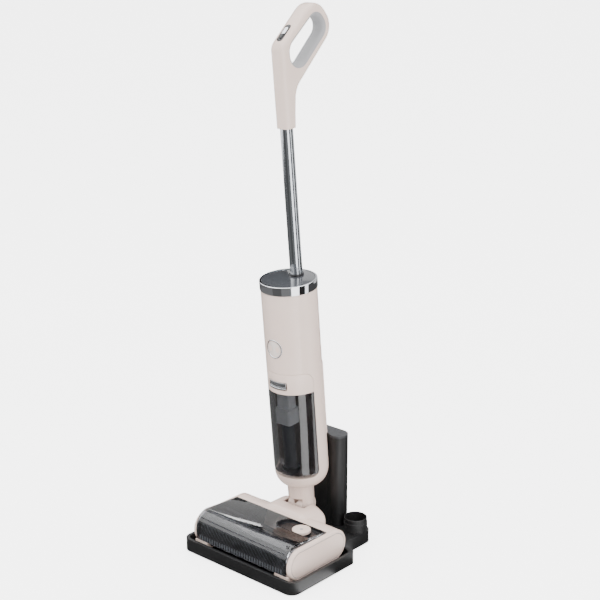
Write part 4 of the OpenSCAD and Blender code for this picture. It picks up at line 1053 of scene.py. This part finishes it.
def build_cup():
    """The accessory cup, with five grooves round its foot and a rolled rim."""
    r, top = (cup_high.x - cup_low.x) / 2, cup_high.z
    profile = [(CENTRE, TRAY_TOP), (r, TRAY_TOP)]
    for k in range(5):
        z = TRAY_TOP + 2 + k * 2.8
        profile += [(r, z), (r - 0.7, z + 0.4), (r - 0.7, z + 1), (r, z + 1.4)]
    profile += [(r, top - 10), (r - 1, top - 9.4), (r - 1, top - 1.6)]
    profile += arc((r - 1.9, top - 0.9), 0.9, 0, 180, 8)
    profile += [(r - 2.8, top - 1), (r - 2.5, 32), (r - 3.5, 31), (CENTRE, 31)]
    place = standing((cup_low.x + cup_high.x) / 2, (cup_low.y + cup_high.y) / 2)
    fit(lathe("accessory_cup_ribbed", profile, place), "dock", "dock_black", DOCK_BLACK, "accessory_cup")


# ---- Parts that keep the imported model's shape ----

CARRIED = {
    DOCK_BLACK: "dock_base_plate", RUBBER: "dock_feet", CONTACT: "dock_contacts charge_pads",
    INLET: "power_inlet roller_scraper", STEEL: "dock_screws head_screws swivel_retainer impeller",
    SQUEEGEE: "squeegee drive_belt", CHASSIS: "spray_bar roller_core roller_pulley",
    ALUMINIUM: "roller_motor motor_pulley suction_motor", BEIGE: "pivot_pin suction_elbow",
    BATTERY: "battery_pack", BOARD: "control_board", PUMP: "water_pump inlet_tube", PALE: "tank_filter",
    DEFLECTOR: "inlet_deflector",
}


def build_carried():
    """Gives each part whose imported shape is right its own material."""
    for material, names in CARRIED.items():
        for name in names.split():
            data = NODES[name].data
            data.materials.clear()
            data.materials.append(material)


# ---- Floor, light and camera ----

# What mirrors see round the object: spans of azimuth in degrees (0 is its front, positive its right), and
# the light from each
STRIPS = [
    ((-180, -138), 0.08), ((-138, -25), 0.2), ((-25, 14), 0.12), ((14, 53), 0.24), ((53, 84), 3.6),
    ((84, 109), 0.03), ((109, 124), 2.4), ((124, 180), 0.08),
]
BRIGHTEST = 4.0  # the light of a strip whose colour is white


def azimuth(tree, parts):
    """The angle round the object, in radians, from the separated parts of a place or a direction."""
    front = add(tree, "ShaderNodeMath", {0: parts.outputs["Y"], 1: -1.0}, operation="MULTIPLY").outputs[0]
    return add(tree, "ShaderNodeMath", {0: parts.outputs["X"], 1: front}, operation="ARCTAN2").outputs[0]


def floor_material():
    """Cast white acrylic lit from below: even and pale, with a soft mirror image of what stands on it.

    Mirrors see the studio's dark and light strips laid on it instead.
    """
    wiped, ripple, depth = 400, 60, 0.004

    def build(tree, millimetres):
        return {
            "Roughness": patchy(tree, millimetres, wiped, 0.28, 0.36),
            "Normal": grain(tree, millimetres, ripple, depth),
        }

    glow = {"Base Color": linear("#f5f5f5"), "Emission Color": linear("#ffffff")}
    material = surface("backlit_white_acrylic", glow, build)
    tree = material.node_tree
    sheet = next(n for n in tree.nodes if n.type == "BSDF_PRINCIPLED")
    output = next(n for n in tree.nodes if n.type == "OUTPUT_MATERIAL")
    path = add(tree, "ShaderNodeLightPath")
    lit = add(tree, "ShaderNodeMath", {0: path.outputs["Is Camera Ray"], 1: 3.0}, operation="MULTIPLY")
    tree.links.new(lit.outputs[0], sheet.inputs["Emission Strength"])
    place = add(tree, "ShaderNodeTexCoord").outputs["Object"]
    angle = azimuth(tree, add(tree, "ShaderNodeSeparateXYZ", {"Vector": place}))
    whole_turn = {"Value": angle, "From Min": -math.pi, "From Max": math.pi}
    turned = add(tree, "ShaderNodeMapRange", whole_turn)
    ramp = add(tree, "ShaderNodeValToRGB", {"Fac": turned.outputs[0]})
    ramp.color_ramp.interpolation = "CONSTANT"
    stops = ramp.color_ramp.elements
    while len(stops) < len(STRIPS):
        stops.new(0.5)
    for stop, (az, radiance) in zip(stops, STRIPS):
        stop.position = (az[0] + 180) / 360
        stop.color = (radiance / BRIGHTEST,) * 3 + (1,)
    strips = add(tree, "ShaderNodeEmission", {"Color": ramp.outputs["Color"], "Strength": BRIGHTEST})
    choice = {0: path.outputs["Is Glossy Ray"], 1: sheet.outputs[0], 2: strips.outputs[0]}
    mirrored = add(tree, "ShaderNodeMixShader", choice)
    tree.links.new(mirrored.outputs[0], output.inputs["Surface"])
    return material


def build_floor():
    """A flat sheet 60 m across, in squares, so that none of its faces is very large."""
    half, cells = 30, 24
    n = cells + 1
    ticks = [-half + 2 * half * i / cells for i in range(n)]
    points = [(x, y, 0) for y in ticks for x in ticks]
    corners = [j * n + i for j in range(cells) for i in range(cells)]
    faces = [(k, k + 1, k + n + 1, k + n) for k in corners]
    floor = mesh_piece("studio_floor", points, faces, Matrix())
    floor.data.materials.append(floor_material())


def build_light():
    """Soft light all round, with strips and dark cards that the glossy parts can mirror."""
    world = bpy.data.worlds.new("studio_light")
    bpy.context.scene.world = world
    world.use_nodes = True
    tree = world.node_tree
    tree.nodes.clear()
    place = add(tree, "ShaderNodeTexCoord").outputs["Generated"]
    parts = add(tree, "ShaderNodeSeparateXYZ", {"Vector": place})
    around = azimuth(tree, parts)
    rise = add(tree, "ShaderNodeMath", {0: parts.outputs["Z"]}, operation="ARCSINE").outputs[0]
    total = 0.75
    # Each card: its middle and half width round the object (0 is its front, positive its right), the light
    # that it adds or takes away, and its lowest and highest elevation, all in degrees
    cards = [(0, 180, 3.7, 45, 90), (68, 16, 5.0, 0, 45), (-30, 25, 1.2, 0, 45), (-138, 60, -0.45, 4, 40)]
    for centre, half, gain, low, high in cards:
        from_centre = {0: around, 1: math.radians(centre)}
        offset = add(tree, "ShaderNodeMath", from_centre, operation="SUBTRACT").outputs[0]
        half_turns = {0: offset, 1: -math.pi, 2: math.pi}
        wrapped = add(tree, "ShaderNodeMath", half_turns, operation="WRAP").outputs[0]
        away = add(tree, "ShaderNodeMath", {0: wrapped}, operation="ABSOLUTE").outputs[0]
        card = gain
        # It fades out smoothly over a few degrees past its sides, its foot and its head
        for value, dark, bright in ((away, half + 4, half), (rise, low - 4, low), (rise, high + 6, high)):
            limits = {"Value": value, "From Min": math.radians(dark), "From Max": math.radians(bright)}
            edge = add(tree, "ShaderNodeMapRange", limits, interpolation_type="SMOOTHSTEP").outputs[0]
            card = add(tree, "ShaderNodeMath", {0: edge, 1: card}, operation="MULTIPLY").outputs[0]
        total = add(tree, "ShaderNodeMath", {0: card, 1: total}, operation="ADD").outputs[0]
    lit = add(tree, "ShaderNodeBackground", {"Color": linear("#ffffff"), "Strength": total})
    plain = add(tree, "ShaderNodeBackground", {"Color": linear("#ffffff"), "Strength": 5.0})
    seen = add(tree, "ShaderNodeLightPath").outputs["Is Camera Ray"]
    mixed = add(tree, "ShaderNodeMixShader", {0: seen, 1: lit.outputs[0], 2: plain.outputs[0]})
    add(tree, "ShaderNodeOutputWorld", {"Surface": mixed.outputs[0]})


def studio_card(name, points, faces, radiance):
    """A sheet of lit cloth that only reflections see. Its weave is too fine to show in one."""
    card = mesh_piece(name, points, faces, Matrix())
    card.visible_camera = card.visible_diffuse = card.visible_shadow = card.visible_transmission = False
    material = bpy.data.materials.new(name + "_cloth")
    material.use_nodes = True
    tree = material.node_tree
    tree.nodes.clear()
    cloth = add(tree, "ShaderNodeEmission", {"Color": linear("#ffffff"), "Strength": radiance})
    add(tree, "ShaderNodeOutputMaterial", {"Surface": cloth.outputs[0]})
    card.data.materials.append(material)


def curved_card(az, height, radiance, radius=1.6):
    """A card bent round the object, between two azimuths in degrees and two heights in metres."""
    steps = max(2, round((az[1] - az[0]) / 4))
    angles = [math.radians(az[0] + (az[1] - az[0]) * i / steps) for i in range(steps + 1)]
    points = [(radius * math.sin(a), -radius * math.cos(a), z) for z in height for a in angles]
    faces = [(i, i + 1, steps + 2 + i, steps + 1 + i) for i in range(steps)]
    studio_card("studio_card", points, faces, radiance)


def flat_card(x, y, z, radiance):
    """A flat card that faces the object's front, between two limits along x and z, in metres."""
    studio_card("studio_flat_card", [(a, y, b) for b in z for a in x], [(0, 1, 3, 2)], radiance)


def build_cards():
    """The strips carried up as cards on the right, and stacked bright and dark bands on the left."""
    for az, radiance in STRIPS:
        if az[0] > -25:
            curved_card(az, (0.001, 2.4), radiance)
    curved_card((-180, -25), (0.001, 0.35), 0.15, 1.7)
    curved_card((-100, -25), (0.35, 0.8), 2.4)
    curved_card((-100, -25), (0.8, 0.93), 0.02)
    curved_card((-100, -25), (0.93, 1.9), 3.2)
    curved_card((-136, -100), (0.9, 2.2), 0.02)
    flat_card((-4, 0.6), 1.3, (0.3, 1.5), 0.9)
    flat_card((-1.75, -0.93), 0.95, (0.72, 0.785), 9.0)


def build_camera():
    """A long lens, a little above the object and to its right."""
    data = bpy.data.cameras.new("studio_camera")
    data.lens = 78.46
    data.sensor_width = 36
    camera = linked("studio_camera", data)
    camera.location = (1.6554, -1.8112, 1.2712)
    camera.rotation_euler = (math.radians(73.32), 0, math.radians(41.69))
    bpy.context.scene.camera = camera


for build_group in (
    build_housing, build_tank, build_lid, build_latch, build_display, build_top, build_handle, build_neck,
    build_clean_tank, build_float, build_window, build_knob, build_cover, build_chassis, build_caps,
    build_wheels, build_nap, build_tray, build_post, build_cup, build_carried, build_floor, build_light,
    build_cards, build_camera,
):
    build_group()
